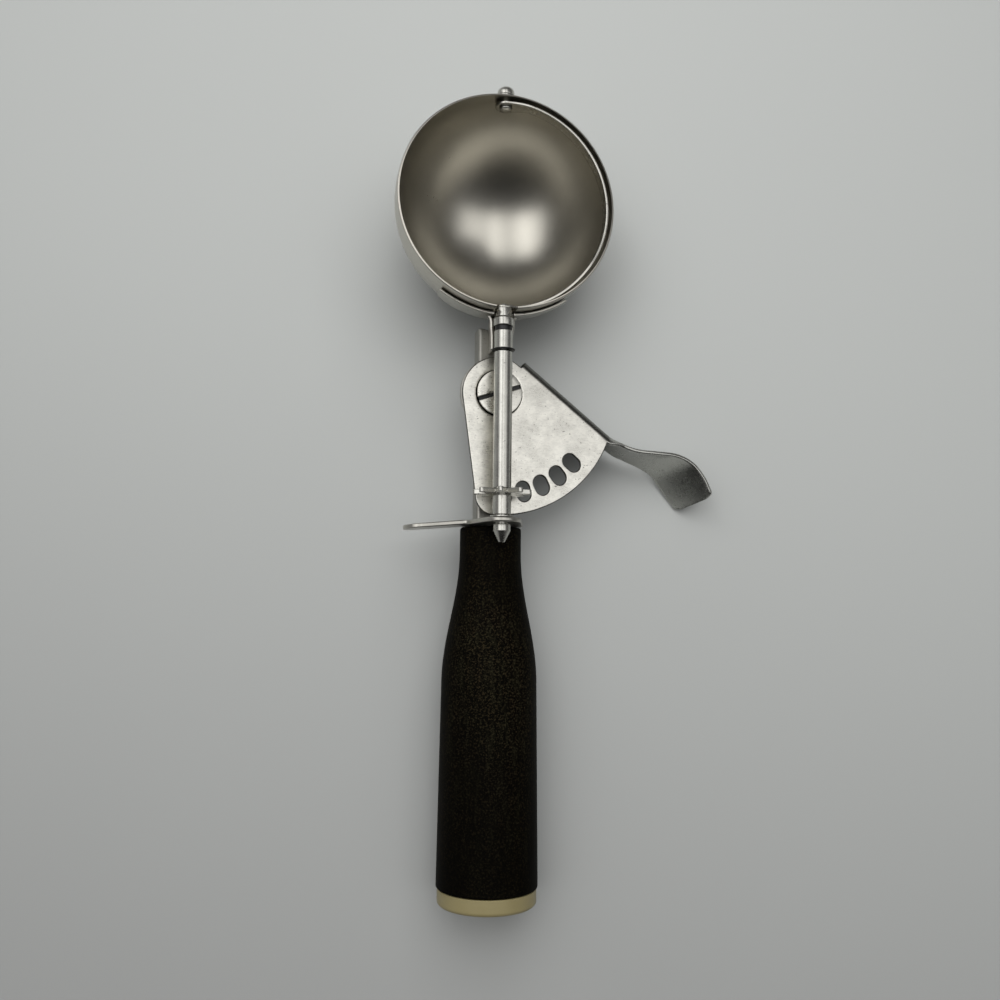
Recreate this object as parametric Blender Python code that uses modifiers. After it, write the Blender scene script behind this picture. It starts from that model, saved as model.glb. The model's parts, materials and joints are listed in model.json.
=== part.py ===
"""Thumb-lever ice cream scoop, built as the real one comes apart on a bench.

The grip lies along Y, with the butt's end face at the origin and the bowl at +Y.
The bowl opens towards +Z and the thumb lever is at +X.
Sizes are in millimetres and become metres in the helpers.
"""
import math

import bmesh
import bpy
from mathutils import Vector

MM = 0.001
TURN = 2 * math.pi

# Clearances
SEAT_GAP = 0.3          # between faces that touch on the real scoop
BORE_GAP = 0.25         # radial play of a bore on its shaft
BLADE_GAP = 0.4         # between the scraper blade and the bowl

# Bowl
BOWL_RADIUS = 34.9      # outside
BOWL_WALL = 0.9
RIM_HEIGHT = 4.7        # rim above the shaft's axis
BOWL_REACH = 24.0       # from the pivot to the bowl's outer face

# Shaft and what sits on it
SHAFT_Z = 15.5          # axis above the grip's axis
ROD_RADIUS = 2.85
CORE_RADIUS = 2.0
ROD_SETBACK = 12.6      # the thick rod's upper shoulder below the bowl
STAR_OUTSET = 0.4       # the star wheel's middle beyond the circle of slots
STAR_THICKNESS = 1.6
STAR_TIP_RADIUS = 9.1
STAR_ROOT_RADIUS = 4.7
STAR_VALLEY_RADIUS = 4.4
STAR_TEETH = 8
STAR_PHASE = math.radians(16)     # nearest tooth from straight down, towards +X
TOOTH_TIP_RADIUS = 0.85
TOOTH_ROOT_HALF = 1.55
SNAP_RING_RADIUS = 3.6
SNAP_RING_THICKNESS = 0.6
SLEEVE_RADIUS = 3.4
SLEEVE_LENGTH = 5.6
COLLAR_RADIUS = 3.2
COLLAR_LENGTH = 2.0
COLLAR_SETBACK = 4.1    # the collar's lower face below the bowl
HUB_RADIUS = 2.8
PIN_RADIUS = 1.5
WASHER_RADIUS = 3.7
WASHER_THICKNESS = 0.6
FERRULE_RADIUS = 2.7
FERRULE_LENGTH = 2.1
CONE_LENGTH = 3.7
CONE_TIP_RADIUS = 0.95

# Scraper blade
BLADE_WIDTH = 4.4
BLADE_THICKNESS = 0.9
BLADE_RISE = 2.0        # band's middle above the shaft's axis at rest
BLADE_TAB_RADIUS = 3.4

# Nose pin
PIN_HEAD_RADIUS = 2.7
PIN_HEAD_HEIGHT = 3.1
NOSE_WASHER_RADIUS = 3.4
NOSE_WASHER_THICKNESS = 0.9
PIN_TAIL = 1.2

# Sector plate and thumb lever, one stamping
PIVOT_X = 0.7
PIVOT_Y = 159.0
SECTOR_TOP_Z = 7.2
SHEET = 1.3
SECTOR_RADIUS = 39.2
SECTOR_HUB_RADIUS = 11.9
SLOT_INSET = 6.8        # middle of the slots from the sector's edge
SLOT_COUNT = 5
SLOT_PITCH = math.radians(11.25)
SLOT_FIRST = math.radians(3.6)      # first slot from straight down, towards +X
SLOT_WIDTH = 4.2
SLOT_LENGTH = 5.8
SECTOR_LEFT_LEAN = math.radians(8)
SECTOR_CORNER = 6.0
FLANGE_OFFSET = 14.4                # outer face of the flange from the pivot
FLANGE_NORMAL = math.radians(51.4)
FLANGE_DEPTH = 13.6
PAD_ROUNDING = 4.0      # corners at the thumb pad's end
PAD_BULGE = 1.7         # and how far the end stands out between them
DISH_RADIUS = 7.9
DISH_DEPTH = 0.45

# Pivot stack
PIVOT_BUSH_RADIUS = 4.0
PIVOT_SCREW_RADIUS = 1.8
PIVOT_HEAD_RADIUS = 7.3
PIVOT_HEAD_HEIGHT = 1.5
SCREW_SLOT_WIDTH = 1.0
SCREW_SLOT_DEPTH = 0.8
SCREW_SLOT_ANGLE = math.radians(19)
PIVOT_NUT_ACROSS = 5.8
PIVOT_NUT_THICKNESS = 2.8
PIVOT_WASHER_THICKNESS = 0.7
CUP_RADIUS = 12.1
CUP_WALL = 0.7
SPRING_WIRE = 0.8
SPRING_TURNS = 2.75
SPRING_OUTER = 10.4
SPRING_INNER = 6.2

# Stem
STEM_HALF_WIDTH = 5.2
STEM_WEB_TOP_Z = 2.3
STEM_BOTTOM_Z = -4.0
STEM_SETBACK = 2.6      # the stem's end below the bowl
STEM_SLANT = math.radians(-11)
STEM_CORNER = 1.2

# Saddle
SADDLE_SHEET = 0.9
SADDLE_REACH = math.radians(35)     # each arm, round the bowl
SADDLE_ABOVE = 0.6                  # arm's top edge above the shaft's axis
SADDLE_DEPTH = 10.0
TROUGH_LIP = 1.6
KEEL_HALF_WIDTH = 2.0

# Bolster plate with the finger rest
SECTOR_CLEARANCE = 1.8  # between the sector's edge and the bolster
BOLSTER_THICKNESS = 1.4
BOLSTER_RADIUS = 10.3
BOLSTER_LOBE_RADIUS = 6.0
REST_REACH = 28.4
REST_HALF_WIDTH = 5.5
REST_Z = 1.0
REST_BEND = math.radians(5.5)

# Grip and butt cap
CAP_LENGTH = 5.0
CAP_RADIUS = 15.6
CAP_ROUNDING = 1.3
SPIGOT_RADIUS = 9.4
SPIGOT_WALL = 1.5
SPIGOT_LENGTH = 2.6
GRIP_BUTT_RADIUS = 15.8
GRIP_BODY_RADIUS = 15.05
GRIP_NECK_RADIUS = 9.8
NECK_LENGTH = 8.3       # straight neck below the bolster
SWELL_LENGTH = 41.0
GRIP_ROUNDING = 0.9
TANG_RADIUS = 3.0
TANG_NUT_ACROSS = 10.0
TANG_NUT_THICKNESS = 4.6
TANG_WASHER_RADIUS = 8.6
TANG_WASHER_THICKNESS = 1.3
COUNTERBORE_DEPTH = 9.8

# How far a cutter runs past what it cuts
CUT_PAST = 10.0

# Sizes that follow
BOWL_BACK_Y = PIVOT_Y + BOWL_REACH
BOWL_Y = BOWL_BACK_Y + BOWL_RADIUS
ROD_TOP_Y = BOWL_BACK_Y - ROD_SETBACK
COLLAR_Y = BOWL_BACK_Y - COLLAR_SETBACK
STEM_TOP_Y = BOWL_BACK_Y - STEM_SETBACK
SLOT_CIRCLE = SECTOR_RADIUS - SLOT_INSET
STAR_Y = PIVOT_Y - SLOT_CIRCLE - STAR_OUTSET
BOLSTER_TOP_Y = PIVOT_Y - SECTOR_RADIUS - SECTOR_CLEARANCE
BOWL_INNER = BOWL_RADIUS - BOWL_WALL
BLADE_RADIUS = BOWL_INNER - BLADE_GAP
CORE_BORE = CORE_RADIUS + BORE_GAP
SECTOR_BOTTOM_Z = SECTOR_TOP_Z - SHEET
STEM_WEB_LOW_Z = STEM_WEB_TOP_Z - SHEET
SLEEVE_LOW_Y = ROD_TOP_Y + 2 * SEAT_GAP + SNAP_RING_THICKNESS
WASHER_LOW_Y = BOLSTER_TOP_Y + SEAT_GAP
SPACER_LOW_Y = WASHER_LOW_Y + WASHER_THICKNESS + SEAT_GAP
STAR_LOW_Y = STAR_Y - STAR_THICKNESS / 2
STAR_TOP_Y = STAR_Y + STAR_THICKNESS / 2
BOLSTER_LOW_Y = BOLSTER_TOP_Y - BOLSTER_THICKNESS
FERRULE_TOP_Y = BOLSTER_LOW_Y - SEAT_GAP
FERRULE_TIP_Y = FERRULE_TOP_Y - FERRULE_LENGTH - CONE_LENGTH
TROUGH_BORE = SLEEVE_RADIUS + SEAT_GAP
TROUGH_RADIUS = TROUGH_BORE + SADDLE_SHEET
GRIP_LOW_Y = CAP_LENGTH + SEAT_GAP
GRIP_TOP_Y = BOLSTER_LOW_Y - SEAT_GAP
SWELL_END_Y = GRIP_TOP_Y - NECK_LENGTH
SWELL_START_Y = SWELL_END_Y - SWELL_LENGTH
COUNTERBORE_Y = GRIP_LOW_Y + COUNTERBORE_DEPTH
TANG_BORE = TANG_RADIUS + SEAT_GAP
PIVOT = Vector((PIVOT_X, PIVOT_Y, 0))
BOWL_CENTRE = Vector((0, BOWL_Y, SHAFT_Z))

# Colours: base colour, roughness, metallic
STEEL = ("steel", (0.62, 0.61, 0.58), 0.28, 1.0)
SATIN_STEEL = ("satin_steel", (0.55, 0.53, 0.49), 0.38, 1.0)
DARK_STEEL = ("dark_steel", (0.08, 0.08, 0.08), 0.5, 1.0)
GRIP_BROWN = ("grip_brown", (0.035, 0.03, 0.022), 0.55, 0.0)
CAP_CREAM = ("cap_cream", (0.72, 0.66, 0.45), 0.4, 0.0)


def clear_scene():
    for obj in list(bpy.data.objects):
        bpy.data.objects.remove(obj, do_unlink=True)


def new_collection(name):
    coll = bpy.data.collections.new(name)
    bpy.context.scene.collection.children.link(coll)
    return coll


def surface(spec):
    """The Principled material of one finish, made once."""
    name, colour, roughness, metallic = spec
    mat = bpy.data.materials.get(name)
    if mat is None:
        mat = bpy.data.materials.new(name)
        mat.use_nodes = True
        shader = mat.node_tree.nodes["Principled BSDF"]
        shader.inputs["Base Color"].default_value = (*colour, 1)
        shader.inputs["Roughness"].default_value = roughness
        shader.inputs["Metallic"].default_value = metallic
        mat.diffuse_color = (*colour, 1)
    return mat


def add_piece(name, mesh, finish):
    """Links a mesh as a named piece of the scoop."""
    obj = bpy.data.objects.new(name, mesh)
    parts.objects.link(obj)
    obj.data.materials.append(surface(finish))
    return obj


def add_cutter(name, mesh):
    obj = bpy.data.objects.new(name, mesh)
    cutters.objects.link(obj)
    obj.hide_render = True
    obj.display_type = "WIRE"
    return obj


def combine(obj, other, operation):
    mod = obj.modifiers.new(other.name, "BOOLEAN")
    mod.operation = operation
    mod.object = other
    return obj


def on_shaft(obj):
    """Turns a piece made along its own Z to lie along Y on the shaft's axis."""
    obj.rotation_euler = (-math.pi / 2, 0, 0)
    obj.location = (0, 0, SHAFT_Z * MM)
    return obj


def on_grip_axis(obj):
    obj.rotation_euler = (-math.pi / 2, 0, 0)
    return obj


def at_pivot(obj):
    obj.location = PIVOT * MM
    return obj


def screw_turn(obj, steps):
    """Turns a profile in the XZ plane once about Z."""
    mod = obj.modifiers.new("turned", "SCREW")
    mod.axis = "Z"
    mod.angle = TURN
    mod.steps = steps
    mod.render_steps = steps
    mod.use_merge_vertices = True
    mod.merge_threshold = 0.00001
    mod.use_smooth_shade = True


def turned(name, profile, finish, steps=32, ring=False):
    """A turned piece from (radius, height) points that run down its outer side.

    A ring's profile closes on itself; any other starts and ends on the axis.
    """
    mesh = bpy.data.meshes.new(name)
    edges = [(i, i + 1) for i in range(len(profile) - 1)]
    if ring:
        edges.append((len(profile) - 1, 0))
    mesh.from_pydata([(r * MM, 0, z * MM) for r, z in profile], edges, [])
    obj = add_piece(name, mesh, finish)
    screw_turn(obj, steps)
    return obj


def tube(name, outer, inner, low, high, finish, steps=32):
    profile = [(outer, high), (outer, low), (inner, low), (inner, high)]
    return turned(name, profile, finish, steps, ring=True)


def arc(cx, cy, radius, start, end, count):
    """Points on an arc from one angle to another, both ends included."""
    step = (end - start) / (count - 1)
    return [(cx + radius * math.cos(start + i * step), cy + radius * math.sin(start + i * step))
            for i in range(count)]


def circle(cx, cy, radius, count=24):
    return arc(cx, cy, radius, 0, TURN * (count - 1) / count, count)


def outline_mesh(name, outlines, thickness):
    """A flat plate centred on its own XY plane, from an outline and its holes."""
    curve = bpy.data.curves.new(name, "CURVE")
    curve.dimensions = "2D"
    curve.fill_mode = "BOTH"
    curve.extrude = thickness / 2 * MM
    curve.render_resolution_u = 0
    for points in outlines:
        spline = curve.splines.new("POLY")
        spline.points.add(len(points) - 1)
        for point, (x, y) in zip(spline.points, points):
            point.co = (x * MM, y * MM, 0, 1)
        spline.use_cyclic_u = True
    guide = bpy.data.objects.new(name + "_outline", curve)
    cutters.objects.link(guide)
    graph = bpy.context.evaluated_depsgraph_get()
    mesh = bpy.data.meshes.new_from_object(guide.evaluated_get(graph))
    bpy.data.objects.remove(guide, do_unlink=True)
    mesh.name = name
    work = bmesh.new()
    work.from_mesh(mesh)
    bmesh.ops.remove_doubles(work, verts=work.verts, dist=0.000001)
    bmesh.ops.recalc_face_normals(work, faces=work.faces)
    work.to_mesh(mesh)
    work.free()
    return mesh


def across_y(obj, y):
    """Stands a plate across the Y axis, with its own Y along world Z."""
    obj.rotation_euler = (math.pi / 2, 0, 0)
    obj.location = (0, y * MM, 0)
    return obj


def cylinder_mesh(name, radius, low, high, count=32, top_radius=None):
    mesh = bpy.data.meshes.new(name)
    work = bmesh.new()
    bmesh.ops.create_cone(work, cap_ends=True, segments=count, radius1=radius * MM,
                          radius2=(radius if top_radius is None else top_radius) * MM,
                          depth=(high - low) * MM)
    bmesh.ops.translate(work, verts=work.verts, vec=(0, 0, (low + high) / 2 * MM))
    work.to_mesh(mesh)
    work.free()
    return mesh


def box_mesh(name, low, high):
    mesh = bpy.data.meshes.new(name)
    work = bmesh.new()
    bmesh.ops.create_cube(work, size=1)
    size = [b - a for a, b in zip(low, high)]
    middle = [(a + b) / 2 for a, b in zip(low, high)]
    bmesh.ops.scale(work, verts=work.verts, vec=[s * MM for s in size])
    bmesh.ops.translate(work, verts=work.verts, vec=[m * MM for m in middle])
    work.to_mesh(mesh)
    work.free()
    return mesh


def sheet(name, rows):
    """An open surface through rows of points, the middle of a sheet that thicken finishes."""
    mesh = bpy.data.meshes.new(name)
    width = len(rows[0])
    points = [(x * MM, y * MM, z * MM) for row in rows for x, y, z in row]
    faces = []
    for i in range(len(rows) - 1):
        for j in range(width - 1):
            a = i * width + j
            faces.append((a, a + 1, a + width + 1, a + width))
    mesh.from_pydata(points, [], faces)
    return mesh


def thicken(obj, thickness):
    mod = obj.modifiers.new("sheet", "SOLIDIFY")
    mod.thickness = thickness * MM
    mod.offset = 0
    mod.use_even_offset = True


def smooth_path(points, count):
    """Points spread evenly on a smooth curve through the given ones."""
    first = [2 * a - b for a, b in zip(points[0], points[1])]
    last = [2 * a - b for a, b in zip(points[-1], points[-2])]
    through = [Vector(p) for p in (first, *points, last)]
    fine = []
    for i in range(1, len(through) - 2):
        a, b, c, d = through[i - 1:i + 3]
        for k in range(16):
            t = k / 16
            fine.append(0.5 * (2 * b + (c - a) * t + (2 * a - 5 * b + 4 * c - d) * t * t
                               + (3 * b - a - 3 * c + d) * t * t * t))
    fine.append(through[-2])
    lengths = [0.0]
    for a, b in zip(fine, fine[1:]):
        lengths.append(lengths[-1] + (b - a).length)
    path = []
    k = 0
    for i in range(count):
        goal = lengths[-1] * i / (count - 1)
        while k < len(fine) - 2 and lengths[k + 1] < goal:
            k += 1
        share = (goal - lengths[k]) / (lengths[k + 1] - lengths[k])
        path.append(fine[k].lerp(fine[k + 1], min(share, 1.0)))
    return path


def make_bowl():
    """A half sphere with a straight rim band, a notch for the hub and a hole for the nose pin."""
    rings = 11
    outer = [(BOWL_RADIUS * math.cos(a), -BOWL_RADIUS * math.sin(a))
             for a in (math.pi / 2 * i / rings for i in range(rings))]
    inner = [(BOWL_INNER * math.cos(a), -BOWL_INNER * math.sin(a))
             for a in (math.pi / 2 * i / rings for i in range(rings))]
    profile = [(0, -BOWL_INNER), *reversed(inner), (BOWL_INNER, RIM_HEIGHT)]
    profile += [(BOWL_RADIUS, RIM_HEIGHT), *outer, (0, -BOWL_RADIUS)]
    bowl = turned("bowl", profile, SATIN_STEEL, steps=48)
    bowl.location = BOWL_CENTRE * MM
    half = HUB_RADIUS + SEAT_GAP + BORE_GAP
    notch_outline = arc(0, 0, half, math.pi, TURN, 13)
    notch_outline += [(half, RIM_HEIGHT + half), (-half, RIM_HEIGHT + half)]
    notch = add_cutter("rim_notch", outline_mesh("rim_notch", [notch_outline], CUT_PAST))
    across_y(notch, BOWL_Y - BOWL_RADIUS)
    notch.location.z = SHAFT_Z * MM
    combine(bowl, notch, "DIFFERENCE")
    hole = add_cutter("nose_hole", cylinder_mesh("nose_hole", PIN_RADIUS + SEAT_GAP, -4, 4, 20))
    on_shaft(hole)
    hole.location.y = (BOWL_Y + BOWL_RADIUS) * MM
    combine(bowl, hole, "DIFFERENCE")
    return bowl


def make_blade():
    """A half-circle band on a slightly smaller sphere, with a round tab over each end of the axis.

    The band runs a little above the axis, just under the rim, and the tabs come down to it.
    """
    middle = BLADE_RADIUS - BLADE_THICKNESS / 2
    half = BLADE_WIDTH / 2
    tab_angle = BLADE_TAB_RADIUS / middle
    beyond = [-0.97, -0.85, -0.6, -0.3]
    angles = [t * tab_angle for t in beyond]
    count = 26
    angles += [math.pi * i / count for i in range(count + 1)]
    angles += [math.pi - t * tab_angle for t in reversed(beyond)]
    rows = []
    for angle in angles:
        past = max(-angle, angle - math.pi, 0) * middle
        inward = min(angle, math.pi - angle) * middle
        blend = min(max(inward / (2.5 * BLADE_TAB_RADIUS), 0), 1)
        blend = blend * blend * (3 - 2 * blend)
        width = math.sqrt(BLADE_TAB_RADIUS ** 2 - past ** 2)
        width += (half - BLADE_TAB_RADIUS) * blend
        row = []
        for share in (-1, -0.5, 0, 0.5, 1):
            rise = BLADE_RISE * blend + share * width
            reach = math.sqrt(middle ** 2 - rise ** 2)
            row.append((reach * math.sin(angle), reach * math.cos(angle), rise))
        rows.append(row)
    blade = add_piece("scraper_blade", sheet("scraper_blade", rows), STEEL)
    blade.location = BOWL_CENTRE * MM
    thicken(blade, BLADE_THICKNESS)
    for end, sign in (("nose", 1), ("hub", -1)):
        hole = add_cutter("blade_hole_" + end, cylinder_mesh("blade_hole", PIN_RADIUS + BORE_GAP, -3, 3, 20))
        on_shaft(hole)
        hole.location.y = (BOWL_Y + sign * middle) * MM
        combine(blade, hole, "DIFFERENCE")
    return blade


def make_nose_pin():
    """A domed rivet through the bowl and the blade's tab, with a washer under its head."""
    washer_low = BOWL_Y + BOWL_RADIUS + SEAT_GAP
    washer_top = washer_low + NOSE_WASHER_THICKNESS
    head_low = washer_top + SEAT_GAP
    head_top = head_low + PIN_HEAD_HEIGHT
    dome = PIN_HEAD_HEIGHT * 0.6
    tail = BOWL_Y + BLADE_RADIUS - BLADE_THICKNESS - PIN_TAIL
    profile = [(PIN_HEAD_RADIUS * math.sin(a), head_top - dome * (1 - math.cos(a)))
               for a in (math.pi / 2 * i / 5 for i in range(6))]
    profile += [(PIN_HEAD_RADIUS, head_low), (PIN_RADIUS, head_low)]
    profile += [(PIN_RADIUS, tail + 0.3), (PIN_RADIUS - 0.3, tail), (0, tail)]
    on_shaft(turned("nose_pin", profile, STEEL, steps=20))
    on_shaft(tube("nose_washer", NOSE_WASHER_RADIUS, PIN_RADIUS + BORE_GAP, washer_low, washer_top,
                  STEEL, 24))


def make_hub():
    """The collar on the shaft's upper end, whose spigot holds the blade's tab."""
    shoulder = BOWL_Y - BLADE_RADIUS - SEAT_GAP
    spigot = BOWL_Y - BLADE_RADIUS + BLADE_THICKNESS + PIN_TAIL
    collar_top = COLLAR_Y + COLLAR_LENGTH
    bore_end = shoulder - 1.0
    profile = [(0, spigot), (PIN_RADIUS, spigot), (PIN_RADIUS, shoulder), (HUB_RADIUS, shoulder)]
    profile += [(HUB_RADIUS, collar_top + 0.7), (COLLAR_RADIUS, collar_top), (COLLAR_RADIUS, COLLAR_Y)]
    profile += [(CORE_BORE, COLLAR_Y), (CORE_BORE, bore_end), (0, bore_end)]
    on_shaft(turned("scraper_hub", profile, STEEL, steps=28))
    return bore_end


def make_shaft(core_top):
    """The rod, stepped down to a thinner core at both ends."""
    chamfer = 0.3
    shoulder = STAR_TOP_Y + SEAT_GAP
    core_end = FERRULE_TOP_Y - FERRULE_LENGTH + SEAT_GAP
    profile = [(0, core_top), (CORE_RADIUS, core_top), (CORE_RADIUS, ROD_TOP_Y)]
    profile += [(ROD_RADIUS - chamfer, ROD_TOP_Y), (ROD_RADIUS, ROD_TOP_Y - chamfer)]
    profile += [(ROD_RADIUS, shoulder), (CORE_RADIUS, shoulder), (CORE_RADIUS, core_end), (0, core_end)]
    on_shaft(turned("drive_shaft", profile, STEEL, steps=28))
    return core_end


def make_ferrule(core_end):
    """The conical end, pressed on the core below the bolster; its bore stops where the cone starts."""
    bore_end = core_end - SEAT_GAP
    waist = FERRULE_TOP_Y - FERRULE_LENGTH
    profile = [(0, bore_end), (CORE_BORE, bore_end), (CORE_BORE, FERRULE_TOP_Y)]
    profile += [(FERRULE_RADIUS, FERRULE_TOP_Y), (FERRULE_RADIUS, waist)]
    profile += [(CONE_TIP_RADIUS, FERRULE_TIP_Y + 0.3), (CONE_TIP_RADIUS * 0.6, FERRULE_TIP_Y)]
    profile += [(0, FERRULE_TIP_Y)]
    on_shaft(turned("shaft_ferrule", profile, STEEL, steps=28))


def make_shaft_rings():
    ring_low = ROD_TOP_Y + SEAT_GAP
    on_shaft(tube("snap_ring", SNAP_RING_RADIUS, CORE_BORE, ring_low, ring_low + SNAP_RING_THICKNESS,
                  DARK_STEEL, 28))
    on_shaft(tube("bearing_sleeve", SLEEVE_RADIUS, CORE_BORE, SLEEVE_LOW_Y, SLEEVE_LOW_Y + SLEEVE_LENGTH,
                  STEEL, 28))
    on_shaft(tube("spacer_tube", ROD_RADIUS, CORE_BORE, SPACER_LOW_Y, STAR_LOW_Y - SEAT_GAP, STEEL, 28))
    on_shaft(tube("thrust_washer", WASHER_RADIUS, CORE_BORE, WASHER_LOW_Y, WASHER_LOW_Y + WASHER_THICKNESS,
                  STEEL, 32))


def star_outline():
    """Finger teeth with round tips, drawn one after another round the wheel."""
    points = []
    pitch = TURN / STAR_TEETH
    for tooth in range(STAR_TEETH):
        # straight down is -90 degrees in the plate's plane
        centre = STAR_PHASE - math.pi / 2 + tooth * pitch
        c, s = math.cos(centre), math.sin(centre)
        tip = STAR_TIP_RADIUS - TOOTH_TIP_RADIUS
        local = [(STAR_ROOT_RADIUS, -TOOTH_ROOT_HALF)]
        local += arc(tip, 0, TOOTH_TIP_RADIUS, -math.pi * 0.45, math.pi * 0.45, 7)
        local += [(STAR_ROOT_RADIUS, TOOTH_ROOT_HALF)]
        points += [(x * c - y * s, x * s + y * c) for x, y in local]
        valley = centre + pitch / 2
        points.append((STAR_VALLEY_RADIUS * math.cos(valley), STAR_VALLEY_RADIUS * math.sin(valley)))
    return points


def make_star_wheel():
    mesh = outline_mesh("star_wheel", [star_outline(), circle(0, 0, CORE_BORE, 20)], STAR_THICKNESS)
    star = across_y(add_piece("star_wheel", mesh, STEEL), STAR_Y)
    star.location.z = SHAFT_Z * MM


def sector_direction(angle):
    """A direction in the sector's plane, counted from straight down towards +X."""
    return math.sin(angle), -math.cos(angle)


def slot_outline(angle):
    """An obround slot whose long side points at the pivot."""
    half = SLOT_WIDTH / 2
    run = SLOT_LENGTH / 2 - half
    ux, uy = sector_direction(angle)
    points = []
    heading = math.atan2(uy, ux)
    for end in (1, -1):
        cx = ux * (SLOT_CIRCLE + end * run)
        cy = uy * (SLOT_CIRCLE + end * run)
        start = heading - math.pi / 2 if end == 1 else heading + math.pi / 2
        points += arc(cx, cy, half, start, start + math.pi, 8)
    return points


def sector_outline():
    """Hub arc, straight left edge, rounded corner, outer arc and the flange's edge."""
    edge = FLANGE_OFFSET - 0.35
    flange_end = FLANGE_NORMAL - math.acos(edge / SECTOR_RADIUS)
    left_normal = math.pi + SECTOR_LEFT_LEAN
    hub_top = math.radians(84)
    points = arc(0, 0, SECTOR_HUB_RADIUS, hub_top, left_normal, 16)
    corner_centre_radius = SECTOR_RADIUS - SECTOR_CORNER
    corner_offset = SECTOR_HUB_RADIUS - SECTOR_CORNER
    # the corner's centre lies a corner radius inside both the left edge and the outer arc
    turn = math.acos(corner_offset / corner_centre_radius)
    corner_angle = left_normal + turn
    cx = corner_centre_radius * math.cos(corner_angle)
    cy = corner_centre_radius * math.sin(corner_angle)
    points += arc(cx, cy, SECTOR_CORNER, left_normal, corner_angle, 8)
    points += arc(0, 0, SECTOR_RADIUS, corner_angle + 0.06, TURN + flange_end, 18)
    points.append((edge * math.cos(FLANGE_NORMAL), edge * math.sin(FLANGE_NORMAL)))
    blend = (SECTOR_HUB_RADIUS + edge) / 2
    mid_angle = (hub_top + FLANGE_NORMAL) / 2
    points.append((blend * 1.03 * math.cos(mid_angle), blend * 1.03 * math.sin(mid_angle)))
    return points


def lever_edges():
    """Near and far edges of the flange and thumb strip, on the sheet's middle surface.

    The first three points of each lie on the flange's straight run.
    """
    middle = FLANGE_OFFSET - SHEET / 2
    nx, ny = math.cos(FLANGE_NORMAL), math.sin(FLANGE_NORMAL)
    tx, ty = ny, -nx
    top = SECTOR_TOP_Z - 0.6
    low = SECTOR_TOP_Z - FLANGE_DEPTH
    near = []
    far = []
    for along, depth in ((0.0, 5.0), (9.0, 10.0), (18.0, FLANGE_DEPTH), (30.0, FLANGE_DEPTH)):
        x = nx * middle + tx * along
        y = ny * middle + ty * along
        near.append((x, y, top))
        far.append((x, y, SECTOR_TOP_Z - depth))
    near += [(42.6, -15.2, top), (48.0, -16.5, top), (54.2, -16.7, top + 0.2), (61.2, -17.2, top + 0.8),
             (66.5, -19.7, top + 1.3), (70.3, -24.2, top + 1.5), (72.7, -28.9, top + 1.3)]
    far += [(41.5, -15.0, low), (46.2, -17.2, low), (52.8, -20.0, low), (57.0, -22.5, low - 0.4),
            (60.2, -26.3, low - 0.9), (62.9, -29.9, low - 1.1), (65.4, -33.1, low - 0.8)]
    return near, far


def make_sector_lever():
    """The slotted plate joined to its flange and thumb strip, then bored and dished for the pivot."""
    slots = [slot_outline(SLOT_FIRST + i * SLOT_PITCH) for i in range(SLOT_COUNT)]
    bore = circle(0, 0, PIVOT_BUSH_RADIUS + SEAT_GAP, 28)
    plate_mesh = outline_mesh("sector_lever", [sector_outline(), bore, *slots], SHEET)
    lever = at_pivot(add_piece("sector_lever", plate_mesh, STEEL))
    lever.location.z = (SECTOR_TOP_Z - SHEET / 2) * MM
    near, far = lever_edges()
    count = 30
    near_path = smooth_path(near, count)
    far_path = smooth_path(far, count)
    rows = []
    for a, b in zip(near_path, far_path):
        rows.append([tuple(a.lerp(b, share)) for share in (0, 0.25, 0.5, 0.75, 1)])
    a, b = near_path[-1], far_path[-1]
    ahead = ((a - near_path[-2]) + (b - far_path[-2])).normalized()
    for angle in (0.5, 0.9, 1.25):
        inset = PAD_ROUNDING * (1 - math.cos(angle)) / (b - a).length
        step = ahead * PAD_BULGE * math.sin(angle)
        rows.append([tuple(a.lerp(b, inset + (1 - 2 * inset) * share) + step)
                     for share in (0, 0.25, 0.5, 0.75, 1)])
    strip = add_cutter("thumb_strip", sheet("thumb_strip", rows))
    at_pivot(strip)
    thicken(strip, SHEET)
    combine(lever, strip, "UNION")
    dish = add_cutter("screw_dish", cylinder_mesh("screw_dish", DISH_RADIUS - DISH_DEPTH, 0, 3, 36,
                                                  DISH_RADIUS + 3 - DISH_DEPTH))
    at_pivot(dish)
    dish.location.z = (SECTOR_TOP_Z - DISH_DEPTH) * MM
    combine(lever, dish, "DIFFERENCE")
    return lever


def hexagon(across):
    return circle(0, 0, across / math.sqrt(3), 6)


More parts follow.
